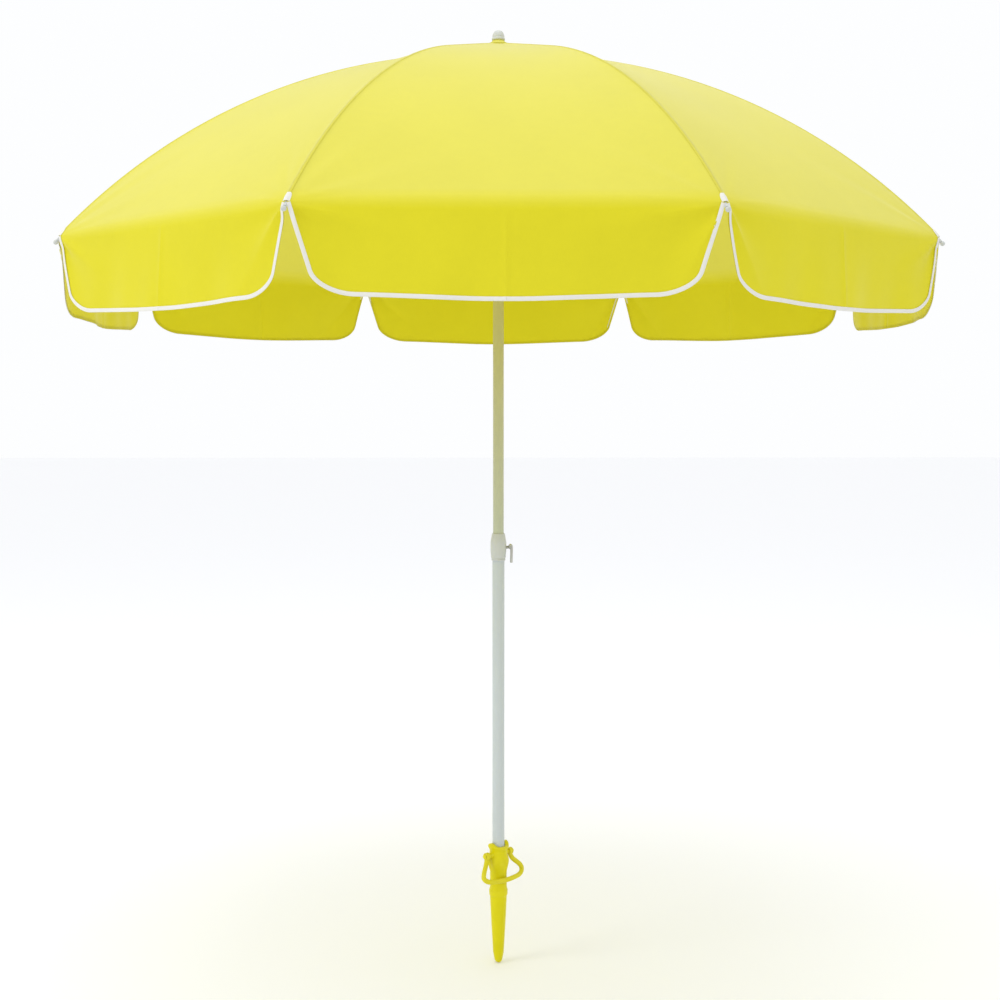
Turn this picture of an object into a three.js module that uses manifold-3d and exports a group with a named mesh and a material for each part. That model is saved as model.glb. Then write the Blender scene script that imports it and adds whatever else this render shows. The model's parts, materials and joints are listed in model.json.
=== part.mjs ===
// Beach umbrella: a two-piece pole on a ground spike, with a folding eight-rib frame,
// a stretched canopy and a hanging valance. Millimetres, +Z up. The origin is on the
// pole's axis at ground level, and the front of the umbrella faces -Y.
import * as THREE from "three";
import { mergeVertices } from "three/addons/utils/BufferGeometryUtils.js";
import Module from "manifold-3d";

const wasm = await Module();
wasm.setup();
const { Manifold, Mesh: ManifoldMesh } = wasm;
const turn = THREE.MathUtils.degToRad;

// ---------------------------------------------------------------- driving dimensions
const gap = 0.3;                    // clearance between pieces that touch
const round_sides = 24;             // facets round a tube or a turned piece

// ground spike
const spike_depth = 150;            // tip below ground
const spike_tip_radius = 9;
const spike_band_height = 12;       // thick band at ground level
const socket_wall = 4.7;
const band_wall = 6.7;
const spike_hub_wall = 9.2;         // wide part between the handle's pegs
const neck_wall = 5.2;
const rim_wall = 9.7;
const socket_waist_z = 46;
const spike_hub_z = 64;
const neck_z = 84;
const rim_height = 8;
const socket_top_z = 104;
const socket_bore_depth = 80;
const seat_hole_radius = 5;         // lets sand and water out of the socket's floor

// spike handle, a bail on two side pegs
const handle_turn_deg = 40;         // the pegs' axis, turned from +X towards +Y
const peg_z = 80;
const peg_radius = 3.4;
const peg_overhang = 17;            // peg beyond the spike's wide part
const peg_head_radius = 5;
const peg_head_width = 2.4;
const handle_rod_radius = 4.5;
const handle_eye_radius = 7.2;
const handle_eye_width = 9;
const handle_flare = 20;            // corners of the bail outside its eyes
const handle_corner_z = 38;
const handle_corner_forward = 15;
const handle_bar_z = 30;
const handle_rest_gap = 2.5;        // bar in front of the socket

// pole
const lower_tube_radius = 12.5;
const tube_wall = 1;
const tube_play = 0.5;              // between the two tubes
const lower_tube_top_z = 706;
const tube_overlap = 172;           // upper tube inside the lower one
const crown_z = 1702;               // the ring on which the ribs turn

// height collar and its lock screw
const collar_wall = 3.4;
const collar_below_tube_top = 15;
const collar_above_tube_top = 41;
const collar_taper = 16;
const collar_foot_wall = 1.2;
const screw_above_tube_top = 12;
const screw_radius = 3;
const screw_hub_radius = 7.5;
const screw_stand_off = 2.8;        // lever's hub clear of the collar
const screw_hub_width = 5;
const lever_width = 7;
const lever_thickness = 6;
const lever_length = 32;

// crown
const rib_count = 8;
const barrel_wall = 3.7;            // crown hub and runner round the upper tube
const eye_clearance = 1.5;          // rib and stretcher ends off the barrel
const flange_rim = 4;               // flange outside the pivot circle
const flange_height = 8;
const ring_wire_radius = 0.9;
const crown_skirt = 20;             // hub below the pivot circle
const crown_cap_height = 8;         // hub above the pivot circle
const post_radius = 9;
const post_height = 34;
const stud_radius = 4;
const stud_height = 12;
const finial_radius = 13.5;
const finial_height = 20;

// ribs and stretchers
const rib_length = 949;             // along the rib, from the crown pivot to the canopy's corner
const rib_start_angle = 0.045;      // slope below level at the crown, in radians
const rib_end_angle = 0.833;        // slope at the canopy's corner
const rib_radius = 2;
const rib_overrun = 12;             // rib beyond the canopy's corner, in its tip bead
const bead_radius = 4;
const bracket_at = 400;             // along the rib
const bracket_drop = 8;             // stretcher pivot below the rib's middle
const elbow_past_bracket = 7;       // where the outer rib turns
const cheek_thickness = 1.2;
const blade_thickness = 2.4;
const blade_radius = 3.5;
const blade_reach = 13;
const rivet_radius = 1.2;
const stretcher_height = 6;

// runner and its catch
const runner_below = 45;
const runner_above = 12;
const catch_height = 10;
const catch_width = 3;
const catch_proud = 2.6;            // tooth beyond the upper tube
const catch_leaf_x = 4;
const catch_leaf_thickness = 1;
const catch_leaf_height = 32;
const catch_keel_width = 8;         // thickened strip of the runner over the catch
const catch_keel_wall = 3;

// fabric
const fabric = 1.2;                 // thickness of the stand-in solids
const fabric_clear = 0.5;           // canopy's underside above the ribs' flattened ends
const canopy_start = 13;            // along the rib
const panel_sag = 6;                // middle of a panel, pulled in from the straight line
const cap_rim = 12;                 // gathered cap beyond the crown's flange
const crown_span = 230;             // the cloth runs straight from the crown to here
const valance_depth = 148;          // at a panel's middle
const valance_side_depth = 140;     // at its corners
const valance_notch_top = 4;        // half the notch between two valances, at a rib's tip
const valance_notch_hem = 44;       // the same where its slanting sides would meet the hem
const valance_corner_reach = 60;    // rounded corner, along the hem
const valance_corner_rise = 36;     // and up the side
const valance_bridge = 8;           // strip that joins two valances under a rib's tip
const valance_bridge_drop = 9.5;   // room for the rib above the strip

// ---------------------------------------------------------------- derived values
const half_step = Math.PI / rib_count;
const socket_bore = lower_tube_radius + gap;
const socket_radius = socket_bore + socket_wall;
const spike_hub_radius = socket_bore + spike_hub_wall;
const neck_radius = socket_bore + neck_wall;
const rim_radius = socket_bore + rim_wall;
const peg_reach = spike_hub_radius + peg_overhang;
const handle_eye_offset = peg_reach - peg_head_width - gap - handle_eye_width / 2 - 0.6;
const handle_corner_offset = handle_eye_offset + handle_flare;
const handle_bar_forward = socket_radius + handle_rest_gap + handle_rod_radius;
const upper_tube_radius = lower_tube_radius - tube_wall - tube_play;
const upper_tube_bottom_z = lower_tube_top_z - tube_overlap;
const runner_bore = upper_tube_radius + gap;
const collar_bore = lower_tube_radius + gap;
const collar_radius = collar_bore + collar_wall;
const collar_foot_radius = collar_bore + collar_foot_wall;
const screw_hub_start = collar_radius + screw_stand_off;
const barrel_radius = runner_bore + barrel_wall;
const pivot_radius = barrel_radius + blade_radius + eye_clearance;
const flange_radius = pivot_radius + flange_rim;
const cap_radius = flange_radius + cap_rim;
const arc_radius = rib_length / (rib_end_angle - rib_start_angle);
const slot_width = blade_thickness + 2 * gap;
const rivet_hole = rivet_radius + gap;
const lower_tube_bottom_z = socket_top_z - socket_bore_depth + gap;
const upper_tube_top_z = crown_z - flange_height / 2 - 2;
const screw_z = lower_tube_top_z + screw_above_tube_top;
const under_lift = blade_radius + fabric_clear;

// a rib is one arc in its own upright plane: x outward, z up
const rib_angle = (s) => rib_start_angle + s / arc_radius;
function rib_point(s, lift = 0) {
  const a = rib_angle(s);
  return {
    x: pivot_radius + arc_radius * (Math.sin(a) - Math.sin(rib_start_angle)) + lift * Math.sin(a),
    z: crown_z - arc_radius * (Math.cos(rib_start_angle) - Math.cos(a)) + lift * Math.cos(a),
  };
}

// How far the taut cloth stands above the ribs' curve near the crown
function crown_lift(s) {
  return Math.max(0, crown_span - s) ** 2 / (2 * arc_radius);
}

const bracket_pivot = rib_point(bracket_at, -bracket_drop);
const elbow = rib_point(bracket_at + elbow_past_bracket);
// crown to bracket and bracket to runner are equal, so the runner's pivots stay on their circle
const runner_z = 2 * bracket_pivot.z - crown_z;

// ---------------------------------------------------------------- shape helpers
function solid(geometry) {
  const bare = geometry.clone();
  bare.deleteAttribute("normal");
  bare.deleteAttribute("uv");
  const merged = mergeVertices(bare, 1e-4);
  const places = merged.attributes.position.array;
  const corner = (i) => new THREE.Vector3().fromArray(places, 3 * i);
  const triangles = [];
  let volume = 0;
  for (let i = 0; i < merged.index.count; i += 3) {
    const [a, b, c] = [0, 1, 2].map((j) => merged.index.array[i + j]);
    if (a === b || b === c || c === a) continue;
    triangles.push([a, b, c]);
    volume += corner(a).dot(corner(b).cross(corner(c)));
  }
  const order = volume < 0 ? [0, 2, 1] : [0, 1, 2];
  return new Manifold(new ManifoldMesh({
    numProp: 3,
    vertProperties: new Float32Array(places),
    triVerts: new Uint32Array(triangles.flatMap((t) => order.map((j) => t[j]))),
  }));
}

function geometry_of(shape) {
  const mesh = shape.getMesh();
  const geometry = new THREE.BufferGeometry();
  geometry.setAttribute("position", new THREE.BufferAttribute(new Float32Array(mesh.vertProperties), 3));
  geometry.setIndex(new THREE.BufferAttribute(new Uint32Array(mesh.triVerts), 1));
  return geometry;
}

const join = (...pieces) => pieces.reduce((a, b) => a.add(b));
const cut = (piece, ...tools) => tools.reduce((a, b) => a.subtract(b), piece);

// a turned piece about Z from [radius, z] points; the outline closes on itself or on the axis
function turned(points, sides = round_sides) {
  const outline = points.map(([r, z]) => new THREE.Vector2(r, z));
  if (points[0][0] > 0) outline.push(outline[0].clone());
  return solid(new THREE.LatheGeometry(outline, sides).rotateX(Math.PI / 2));
}

const tube = (outer, inner, low, high) => turned([[inner, low], [outer, low], [outer, high], [inner, high]]);

function box(x0, x1, y0, y1, z0, z1) {
  const geometry = new THREE.BoxGeometry(x1 - x0, y1 - y0, z1 - z0);
  return solid(geometry.translate((x0 + x1) / 2, (y0 + y1) / 2, (z0 + z1) / 2));
}

// a round bar along Y in a rib's plane, or along X
const bar_y = (radius, y0, y1, x, z, sides = 10) =>
  solid(new THREE.CylinderGeometry(radius, radius, y1 - y0, sides).translate(x, (y0 + y1) / 2, z));
const bar_x = (radius, x0, x1, z, sides = 16) =>
  solid(new THREE.CylinderGeometry(radius, radius, x1 - x0, sides)
    .rotateZ(Math.PI / 2).translate((x0 + x1) / 2, 0, z));

// a flat plate in a rib's plane, from a Shape drawn as (x, z), centred on y
function plate(shape, thickness, y = 0, segments = 4) {
  const geometry = new THREE.ExtrudeGeometry(shape, {
    depth: thickness, bevelEnabled: false, curveSegments: segments,
  });
  return geometry.rotateX(Math.PI / 2).translate(0, y + thickness / 2, 0);
}

// moves a piece drawn along +x to where the rib is at s, and turns it to the rib's slope
function onto_rib(geometry, s) {
  const p = rib_point(s);
  return geometry.rotateY(rib_angle(s)).translate(p.x, 0, p.z);
}

function swept(curve, radius, sides, steps) {
  const ring = new THREE.Shape();
  for (let i = 0; i < sides; i += 1) {
    const a = (2 * Math.PI * i) / sides;
    ring[i ? "lineTo" : "moveTo"](radius * Math.cos(a), radius * Math.sin(a));
  }
  ring.closePath();
  return solid(new THREE.ExtrudeGeometry(ring, { extrudePath: curve, steps, bevelEnabled: false }));
}

class RibCurve extends THREE.Curve {
  constructor(from, to) {
    super();
    this.from = from;
    this.to = to;
  }

  getPoint(t, target = new THREE.Vector3()) {
    const p = rib_point(this.from + (this.to - this.from) * t);
    return target.set(p.x, 0, p.z);
  }
}

// an eye with a shank along +x
function eye_shape(reach, half_height, hole) {
  const shape = new THREE.Shape();
  shape.absarc(0, 0, blade_radius, Math.PI / 2, (3 * Math.PI) / 2, false);
  shape.lineTo(reach, -half_height);
  shape.lineTo(reach, half_height);
  shape.closePath();
  const pierced = new THREE.Path();
  pierced.absarc(0, 0, hole, 0, 2 * Math.PI, true);
  shape.holes.push(pierced);
  return shape;
}

const rib_slots = (low, high) => Array.from({ length: rib_count }, (_, k) =>
  box(barrel_radius + gap, flange_radius + 2, -slot_width / 2, slot_width / 2, low, high)
    .rotate([0, 0, rib_azimuth_deg(k)]));
const rib_azimuth_deg = (k) => -90 + THREE.MathUtils.radToDeg(half_step) * (2 * k + 1);

// ---------------------------------------------------------------- spike and handle
function ground_spike() {
  const floor_z = socket_top_z - socket_bore_depth;
  const root_radius = socket_bore + neck_wall;
  const band_radius = socket_bore + band_wall;
  const tip_round = 5;
  const body = turned([
    [0, -spike_depth],
    [spike_tip_radius * 0.62, -spike_depth + 1.2],
    [spike_tip_radius * 0.9, -spike_depth + tip_round],
    [spike_tip_radius * 1.25, -spike_depth + 4 * tip_round],
    [root_radius - 1.5, -spike_depth / 3],
    [root_radius, -spike_band_height / 2],
    [band_radius, -spike_band_height / 2 + 1],
    [band_radius, spike_band_height / 2],
    [socket_radius, spike_band_height / 2 + 2],
    [socket_radius, socket_waist_z],
    [spike_hub_radius - 1.5, spike_hub_z - 9],
    [spike_hub_radius, spike_hub_z],
    [spike_hub_radius - 1.5, spike_hub_z + 8],
    [neck_radius, neck_z],
    [neck_radius, socket_top_z - rim_height - 3],
    [rim_radius, socket_top_z - rim_height],
    [rim_radius, socket_top_z - 1.5],
    [rim_radius - 1.5, socket_top_z],
    [socket_bore, socket_top_z],
    [socket_bore, floor_z],
    [seat_hole_radius, floor_z],
    [seat_hole_radius, floor_z - 8],
    [0, floor_z - 12],
  ]);
  const peg = (side) => {
    const shank = bar_x(peg_radius, socket_bore + 2, peg_reach, 0, 12);
    const head = bar_x(peg_head_radius, peg_reach - peg_head_width, peg_reach, 0, 12);
    return join(shank, head).rotate([0, 0, side > 0 ? 0 : 180]).translate([0, 0, peg_z])
      .rotate([0, 0, handle_turn_deg]);
  };
  return join(body, peg(1), peg(-1));
}

function spike_handle() {
  // right half of the bail in its own frame: x sideways, -y forward
  const half = [
    [handle_eye_offset, 0, peg_z - handle_eye_radius + 2],
    [handle_eye_offset + 5, -3, peg_z - 16],
    [handle_corner_offset - 2, -handle_corner_forward + 3, handle_corner_z + 12],
    [handle_corner_offset, -handle_corner_forward, handle_corner_z + 2],
    [handle_corner_offset - 9, -handle_corner_forward - 4, handle_corner_z - 5],
    [handle_corner_offset - 28, -handle_bar_forward + 1.5, handle_bar_z + 1],
  ];
  const left = half.map(([x, y, z]) => new THREE.Vector3(-x, y, z));
  const right = half.map(([x, y, z]) => new THREE.Vector3(x, y, z)).reverse();
  const middle = new THREE.Vector3(0, -handle_bar_forward, handle_bar_z);
  const path = new THREE.CatmullRomCurve3([...left, middle, ...right], false, "centripetal");
  const loop = swept(path, handle_rod_radius, 8, 30);
  const eye = (side) => {
    const x = side * handle_eye_offset;
    return bar_x(handle_eye_radius, x - handle_eye_width / 2, x + handle_eye_width / 2, peg_z, 14);
  };
  const holes = bar_x(peg_radius + gap, -peg_reach, peg_reach, peg_z, 14);
  return cut(join(loop, eye(1), eye(-1)), holes).rotate([0, 0, handle_turn_deg]);
}

// ---------------------------------------------------------------- pole
function height_collar() {
  const low = lower_tube_top_z - collar_below_tube_top;
  const high = lower_tube_top_z + collar_above_tube_top;
  const step = lower_tube_top_z + gap;
  const body = turned([
    [collar_bore, low],
    [collar_foot_radius, low],
    [collar_foot_radius + 0.4, low + 3],
    [collar_radius, low + 12],
    [collar_radius, high - collar_taper],
    [collar_radius - 1.2, high - collar_taper + 6],
    [upper_tube_radius + 1.6, high],
    [runner_bore, high],
    [runner_bore, step],
    [collar_bore, step],
  ]);
  return cut(body, bar_x(screw_radius + gap, 0, collar_radius + 2, screw_z));
}

function lock_screw() {
  const hub_end = screw_hub_start + screw_hub_width;
  const shank = bar_x(screw_radius, upper_tube_radius + gap, screw_hub_start + 1, screw_z, 12);
  const hub = bar_x(screw_hub_radius, screw_hub_start, hub_end, screw_z);
  const arm = new THREE.Shape();
  const round = lever_width / 2;
  arm.absarc(0, screw_hub_radius - round, round, 0, Math.PI, false);
  arm.absarc(0, round - lever_length, round, Math.PI, 2 * Math.PI, false);
  arm.closePath();
  const lever = new THREE.ExtrudeGeometry(arm, {
    depth: lever_thickness, bevelEnabled: true, bevelThickness: 0.8, bevelSize: 0.8,
    bevelOffset: -0.8, bevelSegments: 1, curveSegments: 6,
  });
  lever.rotateX(Math.PI / 2).rotateZ(Math.PI / 2).translate(hub_end - 1, 0, screw_z);
  return join(shank, hub, solid(lever));
}

function upper_tube() {
  const window_z = catch_middle_z();
  const clear = gap + catch_height / 2;
  return cut(
    tube(upper_tube_radius, upper_tube_radius - tube_wall, upper_tube_bottom_z, upper_tube_top_z),
    box(0, upper_tube_radius + 2, -catch_width / 2 - gap, catch_width / 2 + gap,
      window_z - clear, window_z + clear),
  );
}

// ---------------------------------------------------------------- crown
function crown_hub() {
  const half = flange_height / 2;
  const bore = runner_bore;
  const top = crown_z + crown_cap_height;
  const body = turned([
    [bore, crown_z - crown_skirt],
    [barrel_radius, crown_z - crown_skirt],
    [barrel_radius, crown_z - half],
    [flange_radius, crown_z - half],
    [flange_radius, crown_z + half],
    [barrel_radius, crown_z + half],
    [barrel_radius - 1, top],
    [post_radius, top + 2],
    [post_radius, crown_z + post_height],
    [stud_radius, crown_z + post_height],
    [stud_radius, crown_z + post_height + stud_height],
    [0, crown_z + post_height + stud_height],
    [0, upper_tube_top_z + gap],
    [bore, upper_tube_top_z + gap],
    [bore, crown_z - crown_skirt],
  ].reverse(), 32);
  const channel = ring(ring_wire_radius + gap);
  return cut(body, channel, ...rib_slots(crown_z - half - 1, crown_z + half + 1));
}

function ring(wire) {
  return solid(new THREE.TorusGeometry(pivot_radius, wire, 6, 32)).translate([0, 0, crown_z]);
}

function finial() {
  const base = crown_z + post_height + gap + fabric + gap;
  const bore_top = crown_z + post_height + stud_height + gap;
  return turned([
    [stud_radius + gap, base],
    [finial_radius - 0.8, base],
    [finial_radius, base + 3],
    [finial_radius - 0.6, base + 7],
    [finial_radius - 3, base + 12],
    [finial_radius - 7.5, base + 16.5],
    [finial_radius - 12, base + finial_height - 1],
    [0, base + finial_height],
    [0, bore_top],
    [stud_radius + gap, bore_top],
    [stud_radius + gap, base],
  ].reverse());
}

// gathered middle of the canopy, drawn up round the crown's post and held by the finial
function canopy_cap() {
  const reach = cap_radius - pivot_radius;
  const edge = rib_point(reach, under_lift + fabric + gap + crown_lift(reach)).z;
  const top = crown_z + post_height + gap;
  const rise = top - edge;
  const hole = stud_radius + gap;
  const outer = [
    [cap_radius, edge + 0.9],
    [cap_radius - 9, edge + 0.38 * rise],
    [post_radius + 10, edge + 0.65 * rise],
    [post_radius + 5.5, top + fabric - 1.2],
    [post_radius + 3.5, top + fabric],
    [hole, top + fabric],
  ];
  const inner = [
    [hole, top],
    [post_radius + 3, top],
    [post_radius + 4.5, top - 1.6],
    [post_radius + 9.4, edge + 0.5 * rise],
    [cap_radius - 9.6, edge + 0.26 * rise],
    [cap_radius - 0.6, edge + 0.2],
  ];
  return turned([...outer, ...inner], 3 * rib_count);
}

// ---------------------------------------------------------------- runner
const catch_middle_z = () => runner_z - runner_below - gap - catch_height / 2;

function runner() {
  const half = flange_height / 2;
  const low = runner_z - runner_below;
  const high = runner_z + runner_above;
  const body = turned([
    [runner_bore, low],
    [barrel_radius + 1.5, low],
    [barrel_radius + 1.5, low + 5],
    [barrel_radius, low + 7],
    [barrel_radius, runner_z - half],
    [flange_radius, runner_z - half],
    [flange_radius, runner_z + half],
    [barrel_radius, runner_z + half],
    [barrel_radius, high],
    [runner_bore, high],
  ], 32);
  const keel = box(upper_tube_radius + 2, barrel_radius + catch_keel_wall, -catch_keel_width / 2,
    catch_keel_width / 2, low, high);
  const groove = box(upper_tube_radius - 2, upper_tube_radius + catch_proud + 2 * gap,
    -catch_width / 2 - gap, catch_width / 2 + gap, low - 1, high + 1);
  return cut(join(body, keel), groove, ...rib_slots(runner_z - half - 1, runner_z + half + 1));
}

function runner_catch() {
  const middle = catch_middle_z();
  const tooth = new THREE.Shape();
  const tip = upper_tube_radius + catch_proud;
  tooth.moveTo(catch_leaf_x, -catch_height / 2);
  tooth.lineTo(upper_tube_radius, -catch_height / 2);
  tooth.lineTo(tip, catch_height / 2 - 3);
  tooth.lineTo(tip, catch_height / 2);
  tooth.lineTo(catch_leaf_x, catch_height / 2);
  tooth.closePath();
  const leaf = box(catch_leaf_x - catch_leaf_thickness, catch_leaf_x + 0.5, -catch_width / 2,
    catch_width / 2, -catch_leaf_height / 2, catch_leaf_height / 2);
  return join(solid(plate(tooth, catch_width)), leaf).translate([0, 0, middle]);
}

// ---------------------------------------------------------------- ribs and stretchers
function bracket_cheek(side) {
  const shape = new THREE.Shape();
  const height = rib_radius;
  shape.moveTo(-16, height);
  shape.lineTo(elbow_past_bracket + 4, height);
  shape.lineTo(elbow_past_bracket + 5.5, 0);
  shape.lineTo(elbow_past_bracket + 4, -height);
  shape.lineTo(3.5, -bracket_drop - 2.5);
  shape.lineTo(0, -bracket_drop - 3.5);
  shape.lineTo(-3.5, -bracket_drop - 2.5);
  shape.lineTo(-16, -height);
  shape.closePath();
  const offset = slot_width / 2 + cheek_thickness / 2;
  return solid(onto_rib(plate(shape, cheek_thickness, side * offset), bracket_at));
}

function rib_inner() {
  const eye = onto_rib(plate(eye_shape(blade_reach, rib_radius + 0.2, ring_wire_radius + gap + 0.2),
    blade_thickness), 0);
  const rod = swept(new RibCurve(blade_reach - 2, bracket_at - 6), rib_radius, 6, 4);
  const outside = slot_width / 2 + cheek_thickness;
  const block = new THREE.Shape();
  block.moveTo(-15, -rib_radius);
  block.lineTo(-3.5, -rib_radius);
  block.lineTo(-3.5, rib_radius);
  block.lineTo(-15, rib_radius);
  block.closePath();
  const pins = [bracket_pivot, elbow].map((p) =>
    bar_y(rivet_radius, -outside + 0.2, outside - 0.2, p.x, p.z, 6));
  return join(solid(eye), rod, solid(onto_rib(plate(block, 2 * outside - 0.4), bracket_at)),
    bracket_cheek(1), bracket_cheek(-1), ...pins);
}

function rib_outer() {
  const from = bracket_at + elbow_past_bracket;
  const eye = onto_rib(plate(eye_shape(blade_reach, rib_radius, rivet_hole), blade_thickness), from);
  const rod = swept(new RibCurve(from + blade_reach - 2, rib_length + rib_overrun), rib_radius, 6, 6);
  const tip = rib_point(rib_length + rib_overrun);
  const bead = solid(new THREE.SphereGeometry(bead_radius, 8, 5).translate(tip.x, 0, tip.z));
  return join(solid(eye), rod, bead);
}

function stretcher() {
  const from = bracket_pivot;
  const run = new THREE.Vector2(from.x - pivot_radius, from.z - runner_z);
  const shape = new THREE.Shape();
  const end = run.length();
  const half = stretcher_height / 2;
  shape.absarc(0, 0, blade_radius, Math.PI / 3, (5 * Math.PI) / 3, false);
  shape.lineTo(2 * blade_radius, -half);
  shape.lineTo(end - 2 * blade_radius, -half);
  shape.absarc(end, 0, blade_radius, (4 * Math.PI) / 3, (8 * Math.PI) / 3, false);
  shape.lineTo(end - 2 * blade_radius, half);
  shape.lineTo(2 * blade_radius, half);
  shape.closePath();
  for (const [x, hole] of [[0, ring_wire_radius + gap + 0.2], [end, rivet_hole]]) {
    const path = new THREE.Path();
    path.absarc(x, 0, hole, 0, 2 * Math.PI, true);
    shape.holes.push(path);
  }
  const bar = plate(shape, blade_thickness, 0, 4);
  return solid(bar.rotateY(-run.angle()).translate(pivot_radius, 0, runner_z));
}

// ---------------------------------------------------------------- fabric
// A canopy point in a rib's frame. s runs along the rib, side from -1 to 1 between the
// middles of the two panels that meet on the rib, and lift stands off the rib's middle.
// Across, the panel is the straight line between neighbouring ribs, pulled in by its sag.
function canopy_point(s, side, lift) {
  const rib = rib_point(s, lift + crown_lift(s));
  const a = rib_angle(s);
  const hand = Math.sign(side);
  const chord = rib.x * Math.sin(half_step);
  const share = Math.min(Math.abs(side), 1 - gap / 2 / chord);
  const fullness = Math.sin((Math.PI * s) / rib_length);
  const sag = panel_sag * fullness * Math.sin((Math.PI / 2) * share);
  return new THREE.Vector3(
    rib.x - chord * share * Math.sin(half_step) - sag * Math.sin(a) * Math.cos(half_step),
    hand * (chord * share * Math.cos(half_step) - sag * Math.sin(a) * Math.sin(half_step)),
    rib.z - sag * Math.cos(a),
  );
}

// closed sheet over a grid of points: point(i, j, layer) with layer 0 below and 1 above
function sheet(rows, columns, point) {
  const places = [];
  const index = [];
  const number = (i, j, layer) => (layer * (rows + 1) + i) * (columns + 1) + j;
  for (const layer of [0, 1]) {
    for (let i = 0; i <= rows; i += 1) {
      for (let j = 0; j <= columns; j += 1) places.push(...point(i, j, layer).toArray());
    }
  }
  const quad = (a, b, c, d) => index.push(a, b, c, a, c, d);
  for (let i = 0; i < rows; i += 1) {
    for (let j = 0; j < columns; j += 1) {
      quad(number(i, j, 0), number(i, j + 1, 0), number(i + 1, j + 1, 0), number(i + 1, j, 0));
      quad(number(i, j, 1), number(i + 1, j, 1), number(i + 1, j + 1, 1), number(i, j + 1, 1));
    }
  }
  const rim = [
    ...Array.from({ length: columns }, (_, j) => [0, j]),
    ...Array.from({ length: rows }, (_, i) => [i, columns]),
    ...Array.from({ length: columns }, (_, j) => [rows, columns - j]),
    ...Array.from({ length: rows }, (_, i) => [rows - i, 0]),
  ];
  rim.forEach(([i, j], n) => {
    const [k, l] = rim[(n + 1) % rim.length];
    quad(number(k, l, 0), number(i, j, 0), number(i, j, 1), number(k, l, 1));
  });
  const geometry = new THREE.BufferGeometry();
  geometry.setAttribute("position", new THREE.Float32BufferAttribute(places, 3));
  geometry.setIndex(index);
  return solid(geometry);
}

function canopy_wedge(from, to, rows) {
  const columns = 6;
  return sheet(rows, columns, (i, j, layer) =>
    canopy_point(from + ((to - from) * i) / rows, (2 * j) / columns - 1, under_lift + fabric * layer));
}

// Two half valances that meet under one rib's tip, each flat and hanging straight down
function valance() {
  const top = rib_point(rib_length, under_lift);
  const corner_x = top.x - fabric;
  const half_width = corner_x * Math.sin(half_step);
  const side = (hand) => {
    const shape = new THREE.Shape();
    const slant = (depth) => valance_notch_top
      + ((valance_notch_hem - valance_notch_top) * depth) / valance_side_depth;
    const under_bridge = valance_bridge_drop + valance_bridge;
    const corner_top = valance_side_depth - valance_corner_rise;
    shape.moveTo(-0.5, -valance_bridge_drop);
    shape.lineTo(rib_radius + 2 * gap, -valance_bridge_drop);
    shape.lineTo(rib_radius + 2 * gap, -gap);
    shape.lineTo(half_width - gap / 2, -gap);
    shape.lineTo(half_width - gap / 2, -valance_depth);
    shape.lineTo(valance_notch_hem + valance_corner_reach, -valance_side_depth);
    shape.quadraticCurveTo(valance_notch_hem, -valance_side_depth, slant(corner_top), -corner_top);
    shape.lineTo(slant(under_bridge), -under_bridge);
    shape.lineTo(-0.5, -under_bridge);
    shape.closePath();
    const flap = plate(shape, fabric, 0, 5);
    if (hand < 0) flap.scale(1, -1, 1);
    // the flap is drawn along +x: turn it to run from the tip towards the panel's middle
    return solid(flap.rotateZ(hand * (Math.PI / 2 + half_step)).translate(corner_x, 0, top.z));
  };
  return join(side(1), side(-1));
}

// ---------------------------------------------------------------- assembly
const finishes = {
  spike_yellow: { color: 0xd6cf1e, roughness: 0.42, metalness: 0 },
  pole_white: { color: 0xdde4e2, roughness: 0.32, metalness: 0 },
  collar_white: { color: 0xd9dfdc, roughness: 0.4, metalness: 0 },
  zinc: { color: 0xb6b7af, roughness: 0.38, metalness: 1 },
  hub_white: { color: 0xe6e8e4, roughness: 0.45, metalness: 0 },
  frame_white: { color: 0xe4e6e2, roughness: 0.35, metalness: 0 },
  canopy_yellow: { color: 0xe9dd3a, roughness: 0.85, metalness: 0 },
};

const group = new THREE.Group();

function add(name, geometry, finish, azimuth_deg = 0) {
  const mesh = new THREE.Mesh(geometry, new THREE.MeshStandardMaterial(finishes[finish]));
  mesh.name = name;
  mesh.rotation.z = turn(azimuth_deg);
  group.add(mesh);
}

const single = [
  ["ground_spike", ground_spike, "spike_yellow"],
  ["spike_handle", spike_handle, "spike_yellow"],
  ["lower_tube", () => tube(lower_tube_radius, lower_tube_radius - tube_wall,
    lower_tube_bottom_z, lower_tube_top_z), "pole_white"],
  ["height_collar", height_collar, "collar_white"],
  ["lock_screw", lock_screw, "zinc"],
  ["upper_tube", upper_tube, "pole_white"],
  ["crown_hub", crown_hub, "hub_white"],
  ["crown_ring", () => ring(ring_wire_radius), "zinc"],
  ["finial", finial, "hub_white"],
  ["canopy_cap", canopy_cap, "canopy_yellow"],
  ["runner", runner, "hub_white"],
  ["runner_catch", runner_catch, "zinc"],
];
for (const [name, make, finish] of single) add(name, geometry_of(make()), finish);

const around = [
  ["rib_inner", rib_inner, "frame_white"],
  ["rib_outer", rib_outer, "frame_white"],
  ["stretcher", stretcher, "frame_white"],
  ["canopy_upper", () => canopy_wedge(canopy_start, bracket_at, 5), "canopy_yellow"],
  ["canopy_lower", () => canopy_wedge(bracket_at + gap, rib_length, 7), "canopy_yellow"],
  ["valance", valance, "canopy_yellow"],
];
for (const [name, make, finish] of around) {
  const geometry = geometry_of(make());
  for (let k = 0; k < rib_count; k += 1) add(`${name}_${k + 1}`, geometry, finish, rib_azimuth_deg(k));
}

export default group;
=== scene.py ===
import json
import math

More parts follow.
